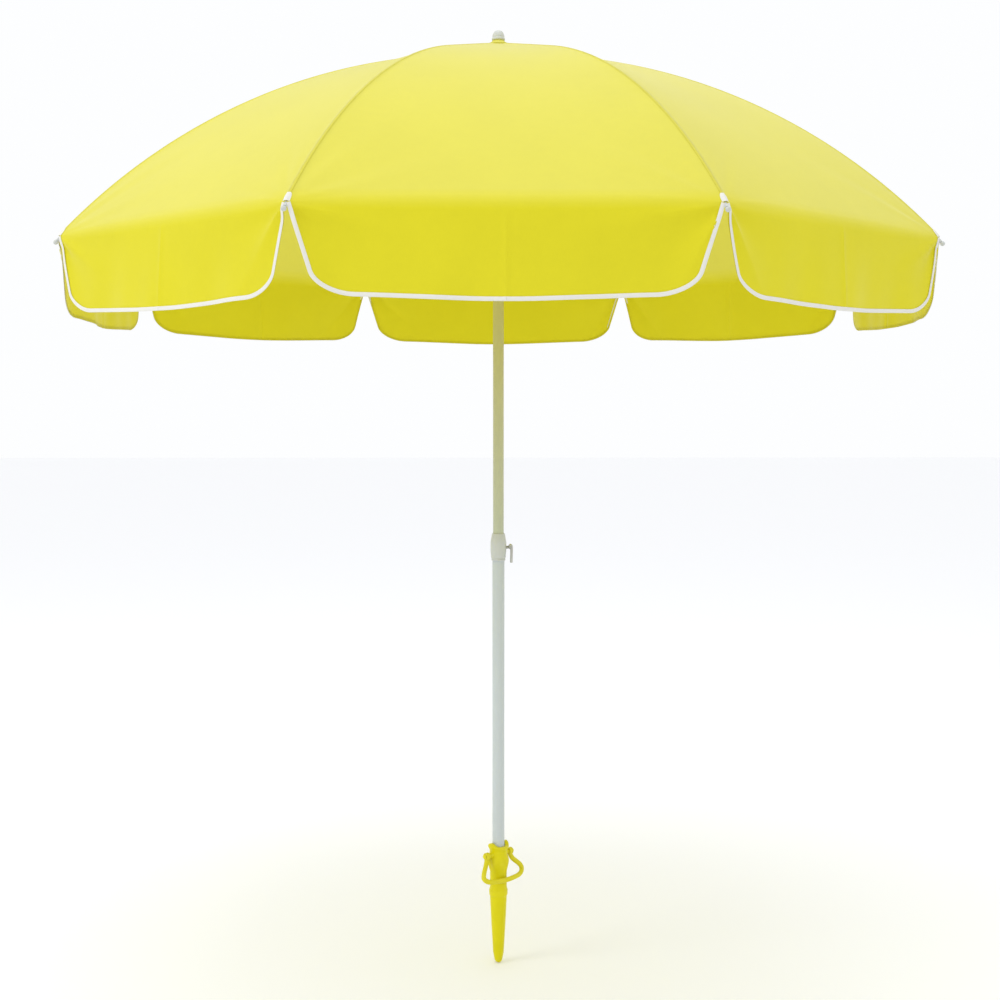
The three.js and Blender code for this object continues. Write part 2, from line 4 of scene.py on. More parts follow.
import bpy
import numpy as np
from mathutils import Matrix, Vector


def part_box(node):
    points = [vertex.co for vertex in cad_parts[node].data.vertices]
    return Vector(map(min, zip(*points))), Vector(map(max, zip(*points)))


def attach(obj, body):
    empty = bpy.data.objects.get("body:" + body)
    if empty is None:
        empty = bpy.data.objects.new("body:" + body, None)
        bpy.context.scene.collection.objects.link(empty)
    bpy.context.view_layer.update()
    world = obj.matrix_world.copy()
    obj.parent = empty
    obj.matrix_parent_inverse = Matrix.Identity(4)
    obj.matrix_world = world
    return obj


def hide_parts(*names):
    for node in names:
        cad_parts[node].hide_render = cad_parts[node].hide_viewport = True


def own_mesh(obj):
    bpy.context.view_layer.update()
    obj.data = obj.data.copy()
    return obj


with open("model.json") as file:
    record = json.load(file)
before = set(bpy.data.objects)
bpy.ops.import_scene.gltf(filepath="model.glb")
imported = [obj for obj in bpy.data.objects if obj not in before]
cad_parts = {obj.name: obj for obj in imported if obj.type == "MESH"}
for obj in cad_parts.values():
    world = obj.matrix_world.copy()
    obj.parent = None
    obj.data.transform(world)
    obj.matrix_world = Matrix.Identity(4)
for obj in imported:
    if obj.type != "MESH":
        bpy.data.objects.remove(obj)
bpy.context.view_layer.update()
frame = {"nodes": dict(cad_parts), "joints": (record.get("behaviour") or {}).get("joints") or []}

bl_info = {
    "name": "Beach Umbrella",
    "version": (1, 0, 0),
    "blender": (4, 5, 0),
    "location": "3D View > Sidebar > Umbrella",
    "description": "Cloth, pole and spike of a folding beach umbrella, built round its packed frame",
    "category": "Add Mesh",
}

# ------------------------------------------------------------------ places from the frame
JOINTS = {joint["name"]: joint for joint in frame["joints"]}
RIBS = sum(name.startswith("rib_fold_") for name in JOINTS)
HALF_STEP = math.pi / RIBS


def in_rib_plane(joint):
    """A joint's place as (distance from the pole's axis, height)."""
    x, y, z = JOINTS[joint]["pos_m"]
    return math.hypot(x, y), z


def circle_through(a, b, c):
    """Centre (x, z) and radius of the circle through three points, from the two
    perpendicular bisectors written as two linear equations."""
    rows = 2 * np.array([np.subtract(b, a), np.subtract(c, a)])
    right = [np.dot(b, b) - np.dot(a, a), np.dot(c, c) - np.dot(a, a)]
    centre = np.linalg.solve(rows, right)
    return centre, math.dist(centre, a)


CROWN = in_rib_plane("rib_fold_1")
ELBOW = in_rib_plane("rib_bend_1")
TIP = in_rib_plane("hem_turn_1")
ARC_CENTRE, ARC_RADIUS = circle_through(CROWN, ELBOW, TIP)
START_SLOPE = math.asin((CROWN[0] - ARC_CENTRE[0]) / ARC_RADIUS)


def along_rib(place):
    """Distance along the ribs' arc from the crown to a place on it."""
    return ARC_RADIUS * (math.asin((place[0] - ARC_CENTRE[0]) / ARC_RADIUS) - START_SLOPE)


RIB_LENGTH, ELBOW_AT = along_rib(TIP), along_rib(ELBOW)
PEG_AXIS = np.array(JOINTS["handle_swing"]["axis"], float)
PEG_Z = JOINTS["handle_swing"]["pos_m"][2]
SCREW_Z = JOINTS["screw_turn"]["pos_m"][2]
BRACKET_Z = JOINTS["strut_turn_1"]["pos_m"][2]


def radius_of(node):
    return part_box(node)[1][0]


def low_of(node):
    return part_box(node)[0][2]


def high_of(node):
    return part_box(node)[1][2]


UP = np.array([0.0, 0.0, 1.0])
HANDS = ((1, "a"), (-1, "b"))
GAP = 0.0003  # left between pieces that touch
CAP_REACH = 0.012  # from the cloth's corner to the middle of the bead on the rib's end
PATCH_WIDTH, PATCH_LENGTH = 0.0136, 0.018


def rib_azimuth(k):
    """Direction of rib k (from 0) about the pole, in radians from +X."""
    return -math.pi / 2 + HALF_STEP * (2 * k + 1)


def outward(azimuth):
    return np.array([math.cos(azimuth), math.sin(azimuth), 0.0])


def sideways(azimuth):
    return np.array([-math.sin(azimuth), math.cos(azimuth), 0.0])


# ------------------------------------------------------------------ sizes and colours
def length(name, description, default):
    return bpy.props.FloatProperty(name=name, description=description, default=default,
                                   unit="LENGTH")


def tint(name, description, default):
    return bpy.props.FloatVectorProperty(name=name, description=description, default=default,
                                         subtype="COLOR", size=3)


def degrees(name, description, default):
    return bpy.props.FloatProperty(name=name, description=description, subtype="ANGLE",
                                   default=math.radians(default))


class ClothSettings(bpy.types.PropertyGroup):
    lift: length("Cloth above ribs", "Underside of the cloth above the ribs' middles", 0.0045)
    crown_span: length("Crown span", "Along the rib, the cloth runs straight from the crown to here",
                       0.230)
    sag: length("Panel sag", "How far a panel's middle is pulled in between two ribs", 0.006)
    wrinkle: length("Wrinkle height", "Height of the pulls that run out of the corners", 0.0017)
    seam_width: length("Seam width", "Width of the felled seam along a rib", 0.009)
    first_row: length("Cloth start", "Where a panel starts, along the rib", 0.012)
    fold: length("Fold", "Cloth on each side of the fold line that rolls over it", 0.016)
    valance_depth: length("Valance depth", "From the fold line to the hem, at a corner", 0.140)
    hem_drop: length("Hem drop", "How much lower the hem hangs at a panel's middle", 0.008)
    notch_top: length("Notch at the fold", "Half the notch between two valances, at the top", 0.001)
    notch_hem: length("Notch at the hem", "Half the notch, where the slanting sides would meet the hem",
                      0.044)
    corner_reach: length("Corner along the hem", "Rounded corner of a valance, along the hem", 0.060)
    corner_rise: length("Corner up the side", "Rounded corner of a valance, up its side", 0.036)
    binding_width: length("Binding width", "White tape sewn over the valance's edge", 0.0068)
    colour: tint("Cloth", "Colour of the cloth", (0.80, 0.735, 0.020))
    # Painted highlight: this colour is added to the canopy's top to make it paler, standing in for the
    # light that falls on it from above.
    painted_top_highlight: tint("Painted top highlight", "Added to the cloth's colour above the fold line",
                 (0.0, 0.015, 0.085))
    binding_colour: tint("Binding", "Colour of the edge tape", (0.86, 0.85, 0.80))


class PoleSettings(bpy.types.PropertyGroup):
    # The upper tube's colours are painted shade and painted yellow light from the canopy above it,
    # growing stronger towards the top.
    upper_paint_in_canopy_light: tint("Upper tube paint", "Colour of the upper tube's paint, darkened and yellowed by painted canopy light",
                      (0.48, 0.51, 0.36))
    painted_canopy_light_top: tint("Painted canopy light on upper tube, top", "Colour of that paint with more painted canopy light, next to the runner",
                       (0.62, 0.55, 0.15))
    white: tint("Tube paint", "Colour of the painted tubes", (0.53, 0.58, 0.59))
    plastic_white: tint("White plastic", "Colour of collar, runner, crown and finial",
                        (0.54, 0.56, 0.53))
    spike_yellow: tint("Spike", "Colour of the spike and its handle", (0.70, 0.63, 0.004))
    zinc: tint("Zinc", "Colour of the plated metal", (0.50, 0.50, 0.46))


class StageSettings(bpy.types.PropertyGroup):
    camera_distance: length("Camera distance", "From the pole's axis to the camera", 3.043)
    camera_height: length("Camera height", "Above the ground line", 1.008)
    camera_turn: degrees("Camera turn", "Camera's way round from the front", -0.85)
    camera_tilt: degrees("Camera tilt", "How far the camera looks down", 3.63)
    lens: bpy.props.FloatProperty(
        name="Lens", description="Focal length on a 36 mm sensor, in millimetres", default=53.7)
    floor_colour: tint("Floor", "Colour of the floor", (0.96, 0.965, 0.98))


# ------------------------------------------------------------------ shape helpers
def grid_faces(rows, columns, close_rows=False, close_columns=False):
    """Quads of a grid of rows x columns points, as one array of corner numbers."""
    i = np.arange(rows if close_rows else rows - 1)
    j = np.arange(columns if close_columns else columns - 1)
    i, j = [a.ravel() for a in np.meshgrid(i, j, indexing="ij")]
    down, right = (i + 1) % rows, (j + 1) % columns
    return np.stack([i * columns + j, i * columns + right, down * columns + right,
                     down * columns + j], axis=1)


def new_object(name, data):
    thing = bpy.data.objects.new(name, data)
    bpy.context.scene.collection.objects.link(thing)
    return thing


def add_piece(name, points, faces, material, body, uvs=None, smooth_angle=40.0, flip=False):
    """Makes a mesh from points and faces, with smooth shading below smooth_angle degrees,
    and lets it ride on a body."""
    mesh = bpy.data.meshes.new(name)
    faces = [np.asarray(part) for part in (faces if isinstance(faces, list) else [faces])]
    corner_lists = [row for part in faces for row in part.tolist()]
    if flip:
        corner_lists = [row[::-1] for row in corner_lists]
    mesh.from_pydata(np.asarray(points, float).reshape(-1, 3).tolist(), [], corner_lists)
    corners = np.empty(len(mesh.loops), dtype=np.int32)
    mesh.loops.foreach_get("vertex_index", corners)
    for layer, values in (uvs or {}).items():
        coords = np.asarray(values, np.float32).reshape(-1, 2)[corners]
        mesh.uv_layers.new(name=layer).data.foreach_set("uv", coords.ravel())
    mesh.materials.append(material)
    mesh.polygons.foreach_set("use_smooth", np.ones(len(mesh.polygons), dtype=bool))
    mesh.update()
    mesh.set_sharp_from_angle(angle=math.radians(smooth_angle))
    piece = new_object(name, mesh)
    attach(piece, body)
    return piece


def rounded(outline, radius, steps=4):
    """An open outline with each inner corner replaced by a short curve: the quadratic
    (1-t)^2 A + 2t(1-t) C + t^2 B between points A and B on the two sides of corner C."""
    outline = np.asarray(outline, float)
    corner = outline[1:-1]
    before, after = outline[:-2] - corner, outline[2:] - corner
    length_before = np.linalg.norm(before, axis=1, keepdims=True)
    length_after = np.linalg.norm(after, axis=1, keepdims=True)
    reach = np.minimum(radius, 0.45 * np.minimum(length_before, length_after))
    a = (corner + before / length_before * reach)[:, None]
    b = (corner + after / length_after * reach)[:, None]
    t = np.linspace(0, 1, steps + 1)[None, :, None]
    curve = (1 - t) ** 2 * a + 2 * t * (1 - t) * corner[:, None] + t**2 * b
    return np.vstack([outline[:1], curve.reshape(-1, 2), outline[-1:]])


def revolved(profile, sides=64, wave=None):
    """Points and faces of a profile of (radius, z) turned about Z. The profile starts and
    ends on the axis, or closes on itself when its ends are off it. wave(angle, radius, z)
    may return a changed (radius, z) for each point."""
    profile = np.asarray(profile, float)
    on_axis = profile[:, 0] < 1e-9
    ring = profile[~on_axis]
    angle = np.linspace(0, 2 * math.pi, sides, endpoint=False)[None, :]
    radius = np.repeat(ring[:, :1], sides, axis=1)
    z = np.repeat(ring[:, 1:], sides, axis=1)
    if wave:
        radius, z = wave(angle, radius, z)
    points = np.stack([radius * np.cos(angle), radius * np.sin(angle), z], axis=-1).reshape(-1, 3)
    closed = not on_axis.any()
    faces = [grid_faces(len(ring), sides, close_rows=closed, close_columns=True)]
    around = np.arange(sides)
    beside = (around + 1) % sides
    for end, row in ((0, 0), (-1, len(ring) - 1)):
        if on_axis[end]:
            points = np.vstack([points, [[0, 0, profile[end, 1]]]])
            tip = np.full(sides, len(points) - 1)
            low, high = row * sides + around, row * sides + beside
            faces.append(np.stack([tip, low, high] if end else [tip, high, low], axis=1))
    return points, faces


def placed(points, origin, along):
    """Points drawn about Z, moved so that Z runs along a direction from an origin."""
    along = np.asarray(along, float) / np.linalg.norm(along)
    helper = np.array([0, 1.0, 0]) if abs(along[1]) < 0.9 else UP
    across = np.cross(helper, along)
    across /= np.linalg.norm(across)
    basis = np.stack([across, np.cross(along, across), along])
    return np.asarray(points) @ basis + np.asarray(origin, float)


def swept(path, reference, profile):
    """Points and faces of a closed profile carried along a path: each section stands across
    the path, its second axis as near to the reference direction as that allows."""
    path = np.asarray(path, float)
    profile = np.asarray(profile, float)
    tangent = np.gradient(path, axis=0)
    tangent /= np.linalg.norm(tangent, axis=1, keepdims=True)
    reference = np.broadcast_to(np.asarray(reference, float), path.shape)
    second = reference - (reference * tangent).sum(1, keepdims=True) * tangent
    second /= np.linalg.norm(second, axis=1, keepdims=True)
    first = np.cross(second, tangent)
    points = (path[:, None] + profile[None, :, :1] * first[:, None]
              + profile[None, :, 1:] * second[:, None])
    rows, columns = len(path), len(profile)
    faces = [grid_faces(rows, columns, close_columns=True)]
    faces.append(np.arange(columns)[None, ::-1])
    faces.append((np.arange(columns) + (rows - 1) * columns)[None])
    return points.reshape(-1, 3), faces


def oval(width, height, sides=12):
    """A closed ellipse, anticlockwise."""
    angle = np.linspace(0, 2 * math.pi, sides, endpoint=False)
    return np.stack([width / 2 * np.cos(angle), height / 2 * np.sin(angle)], axis=1)


def smooth_path(knots, steps):
    """A curve through the knots: on each stretch the Catmull-Rom cubic of its two ends and
    their neighbours."""
    knots = np.asarray(knots, float)
    line = np.vstack([2 * knots[0] - knots[1], knots, 2 * knots[-1] - knots[-2]])
    t = np.linspace(0, 1, steps, endpoint=False)[None, :, None]
    p0, p1, p2, p3 = [line[i:len(line) - 3 + i][:, None] for i in range(4)]
    curve = 0.5 * (2 * p1 + (p2 - p0) * t + (2 * p0 - 5 * p1 + 4 * p2 - p3) * t**2
                   + (3 * p1 - p0 - 3 * p2 + p3) * t**3)
    return np.vstack([curve.reshape(-1, 3), knots[-1:]])


def bevelled(piece, width, segments):
    """Rounds the edges that are sharper than 40 degrees."""
    edge = piece.modifiers.new("Rounded edges", "BEVEL")
    edge.width = width
    edge.segments = segments
    edge.limit_method = "ANGLE"
    edge.angle_limit = math.radians(40)


# ------------------------------------------------------------------ ribs and cloth surfaces
def rib_line(s, lift=0.0):
    """A rib's place at distance s along it: on its arc, lift metres off it, as
    x = cx + (R + lift) sin a, z = cz + (R + lift) cos a with slope a = a0 + s / R."""
    slope = START_SLOPE + np.asarray(s, float) / ARC_RADIUS
    reach = ARC_RADIUS + lift
    return ARC_CENTRE[0] + reach * np.sin(slope), ARC_CENTRE[1] + reach * np.cos(slope), slope


def smoothstep(x):
    x = np.clip(x, 0, 1)
    return x * x * (3 - 2 * x)


def crown_lift(s, settings):
    """How far the taut cloth stands above the ribs' arc near the crown: the gap between an
    arc and its tangent, (span - s)^2 / 2R, from the crown to where the tangent touches."""
    return np.maximum(0, settings.crown_span - s) ** 2 / (2 * ARC_RADIUS)


def fold_roll(into, edge, settings):
    """How the cloth rolls over the line between panel and valance, as (outward, upward)
    steps. into runs from 0 at the roll's start to 1 on the line; a quadratic curve between
    the two directions t1 and t2 leaves the sharp corner by into^2 / 4 * fold * (t2 - t1).
    It fades beside the ribs' tips, where the cloth is held."""
    slope = START_SLOPE + RIB_LENGTH / ARC_RADIUS
    panel = np.array([math.cos(slope) * math.cos(HALF_STEP), -math.sin(slope)])
    panel /= np.linalg.norm(panel)
    step = np.clip(into, 0, 1) ** 2 / 4 * settings.fold
    step = step * (0.45 + 0.55 * smoothstep(edge / 0.04))
    return -step * panel[0], step * (-1 - panel[1])


def pull_fan(down, side, decay, clear):
    """Strength and angle of the pulls that run out of a corner, at down and side metres from
    it: exp(-d / decay), faded in over the first clear metres."""
    distance = np.hypot(down, side)
    strength = np.exp(-distance / decay) * smoothstep(distance / clear)
    return strength, np.arctan2(down, np.maximum(side, 1e-6))


def gore_relief(gore, s, across, width, height):
    """How far the cloth stands off its taut surface, for gore number gore, at s along the rib
    and across metres from the gore's first rib, where the gore is width wide.
    Pulls fan out of both lower corners as height exp(-d / 0.11) sin(n angle); small pleats
    fade away from the crown; a broad slack wave fills the middle. All die out at the ribs."""
    phase = np.random.default_rng(20 + gore).uniform(0, 2 * math.pi, 6)
    down = RIB_LENGTH - s
    edge = np.minimum(across, width - across)
    held = smoothstep(edge / 0.022)
    relief = np.zeros_like(s)
    for side, offset in ((across, 0), (width - across, 1)):
        fade, angle = pull_fan(down, side, 0.11, 0.05)
        relief += height * fade * np.sin(9 * angle + phase[offset])
        relief += 0.45 * height * fade * np.sin(17 * angle + phase[offset + 2])
    share = across / width
    relief += 0.5 * height * np.exp(-s / 0.07) * np.sin(2 * math.pi * 5 * share)
    slack = np.sin(math.pi * np.clip(s / RIB_LENGTH, 0, 1)) ** 2
    relief += 0.7 * height * slack * np.sin(2 * math.pi * share + phase[4])
    relief += 0.5 * height * slack * np.sin(3 * math.pi * s / RIB_LENGTH + phase[5])
    pucker = 0.16 * height * np.exp(-edge / 0.012) * np.sin(2 * math.pi * s / 0.034 + phase[3])
    rim = smoothstep(down / 0.03)
    return (relief * held + pucker * smoothstep(edge / 0.004)) * rim


def cloth_at(k, s, offset, settings):
    """Row-frame points of the canopy round rib k. offset is the signed distance from the rib
    along the straight line to the next rib; the panel is that line, pulled in by its sag.
    Also gives the (across the gore, along the rib) and (off the seam, along) cloth places."""
    x, z, slope = rib_line(s, settings.lift + crown_lift(s, settings))
    half = x * math.sin(HALF_STEP)
    hand = np.where(offset < 0, -1.0, 1.0)
    distance = np.abs(offset)
    relief = np.zeros_like(distance)
    for side in (1, -1):
        here = hand == side
        number = (k if side > 0 else k - 1) % RIBS
        across = distance if side > 0 else 2 * half - distance
        relief = np.where(here, gore_relief(number, s, across, 2 * half, settings.wrinkle), relief)
    share = np.clip(distance / half, 0, 1.002)
    sag = settings.sag * np.sin(math.pi * s / RIB_LENGTH) * np.sin(math.pi / 2 * share)
    thickness, slope_off = 0.0007, 0.0012
    seam = thickness * (1 - smoothstep((distance - settings.seam_width / 2 + slope_off) / slope_off))
    off = relief - sag
    into = 1 - (RIB_LENGTH - s) / settings.fold
    roll_out, roll_up = fold_roll(into, distance, settings)
    facing = off * np.sin(slope) + roll_out
    px = x - distance * math.sin(HALF_STEP) + facing * math.cos(HALF_STEP) + seam * np.sin(slope)
    py = hand * (distance * math.cos(HALF_STEP) + facing * math.sin(HALF_STEP))
    pz = z + off * np.cos(slope) + seam * np.cos(slope) + roll_up
    azimuth = rib_azimuth(k)
    points = np.stack([px * math.cos(azimuth) - py * math.sin(azimuth),
                       px * math.sin(azimuth) + py * math.cos(azimuth), pz], axis=-1)
    weave = np.stack([hand * (half - distance), s], axis=-1)
    seams = np.stack([offset, s], axis=-1)
    return points, weave, seams


def wedge_grid(rows, columns, settings):
    """Grid of (s, offset) over the cloth that one rib carries. The columns next to the rib
    keep a fixed distance, so that the seam has one width; the others share the rest."""
    s = np.asarray(rows)[:, None]
    rows = len(rows)
    x, _, _ = rib_line(s, settings.lift + crown_lift(s, settings))
    half = x * math.sin(HALF_STEP)
    seam = settings.seam_width / 2
    near = np.array([0.0, 0.5, 0.82, 0.9, 1.0]) * seam
    spread = np.linspace(0, 1, columns)[1:]
    far = seam + (half - seam) * spread[None]
    right = np.hstack([np.broadcast_to(near, (rows, len(near))), far])
    offset = np.hstack([-right[:, :0:-1], right])
    return np.broadcast_to(s, offset.shape), offset


def valance_relief(gore, across, width, depth, height):
    """How far a valance stands out: soft upright waves that grow towards the hem, creases
    that fan out of both upper corners as exp(-d / 0.09) (1 - 2 |sin(3.5 angle)|), and the
    pressed crease at the middle of the panel, exp(-(distance / 5 mm)^2)."""
    phase = np.random.default_rng(50 + gore).uniform(0, 2 * math.pi, 6)
    share = np.clip(across / width, 0, 1)
    grow = smoothstep(depth / 0.14)
    waves = ((0.0050, 1.2, 0), (0.0032, 2.6, 4), (0.6 * height, 6.5, 9))
    wave = sum(tall * np.sin(2 * math.pi * turns * share + slant * depth + phase[i])
               for i, (tall, turns, slant) in enumerate(waves))
    pulls = np.zeros_like(wave)
    for side, offset in ((across, 3), (width - across, 4)):
        fade, angle = pull_fan(depth, side, 0.09, 0.03)
        pulls = pulls + 4.2 * height * fade * (1 - 2 * np.abs(np.sin(3.5 * angle + phase[offset])))
    crease = 0.0014 * np.exp(-(((across - width / 2) / 0.005) ** 2)) * smoothstep(depth / 0.03)
    free = 0.5 + 0.5 * np.sin(math.pi * share) ** 0.5
    return wave * grow * free + pulls * smoothstep(depth / 0.03) + crease


def valance_edge(depth, settings):
    """Distance of a half valance's free side edge from the rib's tip at a depth: a straight
    slant, then a quarter of an ellipse into the hem."""
    total, rise = settings.valance_depth, settings.corner_rise
    slant = settings.notch_top + (settings.notch_hem - settings.notch_top) * depth / total
    into = np.clip((depth - (total - rise)) / rise, 0, 1)
    return slant + settings.corner_reach * (1 - np.sqrt(np.clip(1 - into**2, 0, 1)))


def valance_rows(settings):
    """Depths of a valance's rows: close together on the fold and round the corner."""
    fold_rows, side_rows, corner_rows = 8, 13, 16
    fold = np.linspace(0, settings.fold, fold_rows)
    start = settings.valance_depth - settings.corner_rise
    side = np.linspace(settings.fold, start, side_rows)[1:]
    round_corner = np.sin(np.linspace(0, math.pi / 2, corner_rows))[1:]
    return np.concatenate([fold, side, start + settings.corner_rise * round_corner])


def valance_at(k, side, distance, depth, settings, out=0.0):
    """Row-frame points of the half valance on one side of rib k's tip, distance metres from
    the tip along the fold line and depth metres below it, out metres proud of the cloth."""
    x, z, _ = rib_line(RIB_LENGTH, settings.lift)
    half = float(x) * math.sin(HALF_STEP)
    edge = np.minimum(distance, 2 * half - distance)
    roll_out, roll_up = fold_roll(1 - depth / settings.fold, edge, settings)
    corner = 0.05
    drop = settings.hem_drop / settings.valance_depth
    drop = drop * smoothstep((distance - corner) / (half - corner))
    height = roll_up - depth * (1 + drop)
    gore = (k if side > 0 else k - 1) % RIBS
    across = distance if side > 0 else 2 * half - distance
    azimuth = rib_azimuth(k)
    start = outward(azimuth) * float(x) + UP * float(z)
    along = sideways(azimuth) * side * math.cos(HALF_STEP) - outward(azimuth) * math.sin(HALF_STEP)
    facing = outward(azimuth + side * HALF_STEP)
    stand = valance_relief(gore, across, 2 * half, depth, settings.wrinkle) + roll_out + out
    return (start + distance[..., None] * along + height[..., None] * UP
            + stand[..., None] * facing), along, facing, start


# ------------------------------------------------------------------ materials
class Finish:
    """One material's node tree, with short calls for the nodes that the finishes share. Each
    input is another node's output, which is linked, or a constant set on its socket."""

    def __init__(self, name):
        self.material = bpy.data.materials.new(name)
        self.material.use_nodes = True
        self.tree = self.material.node_tree
        self.shader = self.tree.nodes["Principled BSDF"]

    def feed(self, node, inputs):
        for socket, value in inputs.items():
            if hasattr(value, "node"):
                self.tree.links.new(value, node.inputs[socket])
            else:
                node.inputs[socket].default_value = value

    def add(self, kind, inputs=None, **settings):
        node = self.tree.nodes.new("ShaderNode" + kind)
        for name, value in settings.items():
            setattr(node, name, value)
        self.feed(node, inputs or {})
        return node

    def place(self):
        return self.add("TexCoord").outputs["Object"]

    def drawn_out(self, vector, scale):
        return self.add("Mapping", {"Vector": vector, "Scale": scale}).outputs["Vector"]

    def uv(self, layer):
        return self.add("UVMap", uv_map=layer).outputs["UV"]

    def axes(self, vector):
        return list(self.add("SeparateXYZ", {0: vector}).outputs)

    def math(self, operation, *values, clamp=False):
        return self.add("Math", dict(enumerate(values)), operation=operation,
                        use_clamp=clamp).outputs[0]

    def weighted(self, *parts):
        """The sum of some outputs, each times its weight."""
        total = 0.0
        for value, weight in reversed(parts):
            total = self.math("MULTIPLY_ADD", value, weight, total)
        return total

    def noise(self, vector, scale, detail=3.0, roughness=0.55):
        return self.add("TexNoise", {"Vector": vector, "Scale": scale, "Detail": detail,
                                     "Roughness": roughness}).outputs["Fac"]

    def ranged(self, value, low, high, from_low=0.0, from_high=1.0):
        return self.add("MapRange", {"Value": value, "From Min": from_low, "From Max": from_high,
                                     "To Min": low, "To Max": high}).outputs["Result"]

    def tinted(self, factor, colour, darker, lighter, lift=0.0):
        """A colour that runs with a factor from darker times itself to lighter times itself."""
        ramp = self.add("ValToRGB", {"Fac": factor})
        ramp.color_ramp.elements[0].color = scaled(colour, darker)
        ramp.color_ramp.elements[1].color = scaled(colour, lighter, lift)
        return ramp.outputs["Color"]

    def laid(self, factor, under, over, blend="MIX"):
        """A plain colour laid over another by a factor: mixed, added or multiplied."""
        return self.add("Mix", {"Factor": factor, "A": under, "B": over}, data_type="RGBA",
                        blend_type=blend).outputs["Result"]

    def bump(self, height, distance, strength, under=None):
        inputs = {"Height": height, "Distance": distance, "Strength": strength}
        if under:
            inputs["Normal"] = under
        return self.add("Bump", inputs).outputs["Normal"]


def scaled(colour, factor, lift=0.0):
    """A colour times a factor plus a lift, kept within white, with full alpha."""
    return (*[min(1.0, c * factor + lift) for c in colour], 1)


def cloth_material(name, colour, translucency, seams, painted_top_highlight=None):
    """Plain-woven cloth: threads crossing at half a pitch as the product of two sines, slubs
    and dye variation from noise, two stitch rows along each seam, and light let through. A
    painted highlight colour is added above the fold line, making the canopy's top paler as if lit from
    above."""
    pitch, stitch_row, stitches_per_metre = 0.0011, 0.0031, 300.0
    finish = Finish(name)
    weave = finish.uv("Weave")
    across, along, _ = finish.axes(weave)
    warp, weft = [finish.math("SINE", finish.math("MULTIPLY", way, 2 * math.pi / pitch))
                  for way in (across, along)]
    threads = finish.math("MULTIPLY", warp, weft)
    slubs = finish.noise(finish.drawn_out(weave, (1.0, 0.12, 1.0)), 900.0, 2.0)
    place = finish.place()
    clouds = finish.noise(place, 5.0)
    fine = finish.noise(place, 60.0, 4.0)
    creases = finish.noise(place, 26.0, 5.0, 0.6)
    shade = finish.tinted(finish.weighted((slubs, 0.3), (clouds, 0.5), (fine, 0.2)), colour,
                          0.90, 1.07, 0.004)
    # Painted highlight: above the fold line the cloth is made paler, as if lit from above.
    if painted_top_highlight is not None:
        above_fold = finish.ranged(along, 1.0, 0.0, RIB_LENGTH - 0.03, RIB_LENGTH + 0.01)
        shade = finish.laid(above_fold, shade, (*painted_top_highlight, 1), "ADD")
    normal = finish.bump(finish.weighted((threads, 0.5), (slubs, 0.6)), 0.00012, 0.35)
    normal = finish.bump(creases, 0.0012, 0.18, normal)
    if seams:
        off_seam, down_seam, _ = finish.axes(finish.uv("Seam"))
        beside = finish.math("ABSOLUTE", off_seam)
        row = finish.math("COMPARE", beside, stitch_row, 0.0004)
        stitch = finish.math("FRACT", finish.math("MULTIPLY", down_seam, stitches_per_metre))
        dash = finish.math("MULTIPLY", row, finish.math("LESS_THAN", stitch, 0.7))
        felled = finish.math("LESS_THAN", beside, 0.0044)
        shade = finish.laid(felled, shade, (0.96, 0.95, 0.88, 1), "MULTIPLY")
        shade = finish.laid(dash, shade, scaled(colour, 0.72))
        normal = finish.bump(dash, 0.0003, 0.6, normal)
    finish.feed(finish.shader, {
        "Base Color": shade, "Roughness": finish.ranged(slubs, 0.62, 0.82), "Normal": normal,
        "Sheen Weight": 0.45, "Sheen Roughness": 0.34, "Specular IOR Level": 0.22})
    passed = finish.laid(1.0, shade, (0.68, 0.66, 0.4, 1), "MULTIPLY")
    glow = finish.add("BsdfTranslucent", {"Color": passed})
    mix = finish.add("MixShader", {"Fac": translucency, 1: finish.shader.outputs[0],
                                   2: glow.outputs[0]})
    finish.feed(finish.tree.nodes["Material Output"], {"Surface": mix.outputs[0]})
    return finish.material


def moulded_material(name, colour, roughness, grain, wear, gloss):
    """Moulded plastic: faint flow marks and sink in the surface, fine mould grain, scuffed
    and paler where edges stick out."""
    finish = Finish(name)
    place = finish.place()
    flow = finish.noise(place, 22.0, 4.0)
    grains = finish.noise(place, 900.0, 2.0)
    scuffs = finish.noise(place, 160.0, 5.0, 0.65)
    edge = finish.add("NewGeometry").outputs["Pointiness"]
    worn = finish.math("MULTIPLY", finish.ranged(edge, 0.0, wear, 0.505, 0.56), scuffs, clamp=True)
    body = finish.tinted(flow, colour, 0.90, 1.08)
    finish.feed(finish.shader, {
        "Base Color": finish.laid(worn, body, scaled(colour, 0.8, 0.2)),
        "Roughness": finish.ranged(scuffs, roughness - 0.07, roughness + 0.12),
        "Normal": finish.bump(flow, 0.0009, 0.12, finish.bump(grains, 0.00008, grain)),
        "Specular IOR Level": gloss, "Subsurface Weight": 0.06,
        "Subsurface Radius": (0.004, 0.003, 0.001)})
    return finish.material


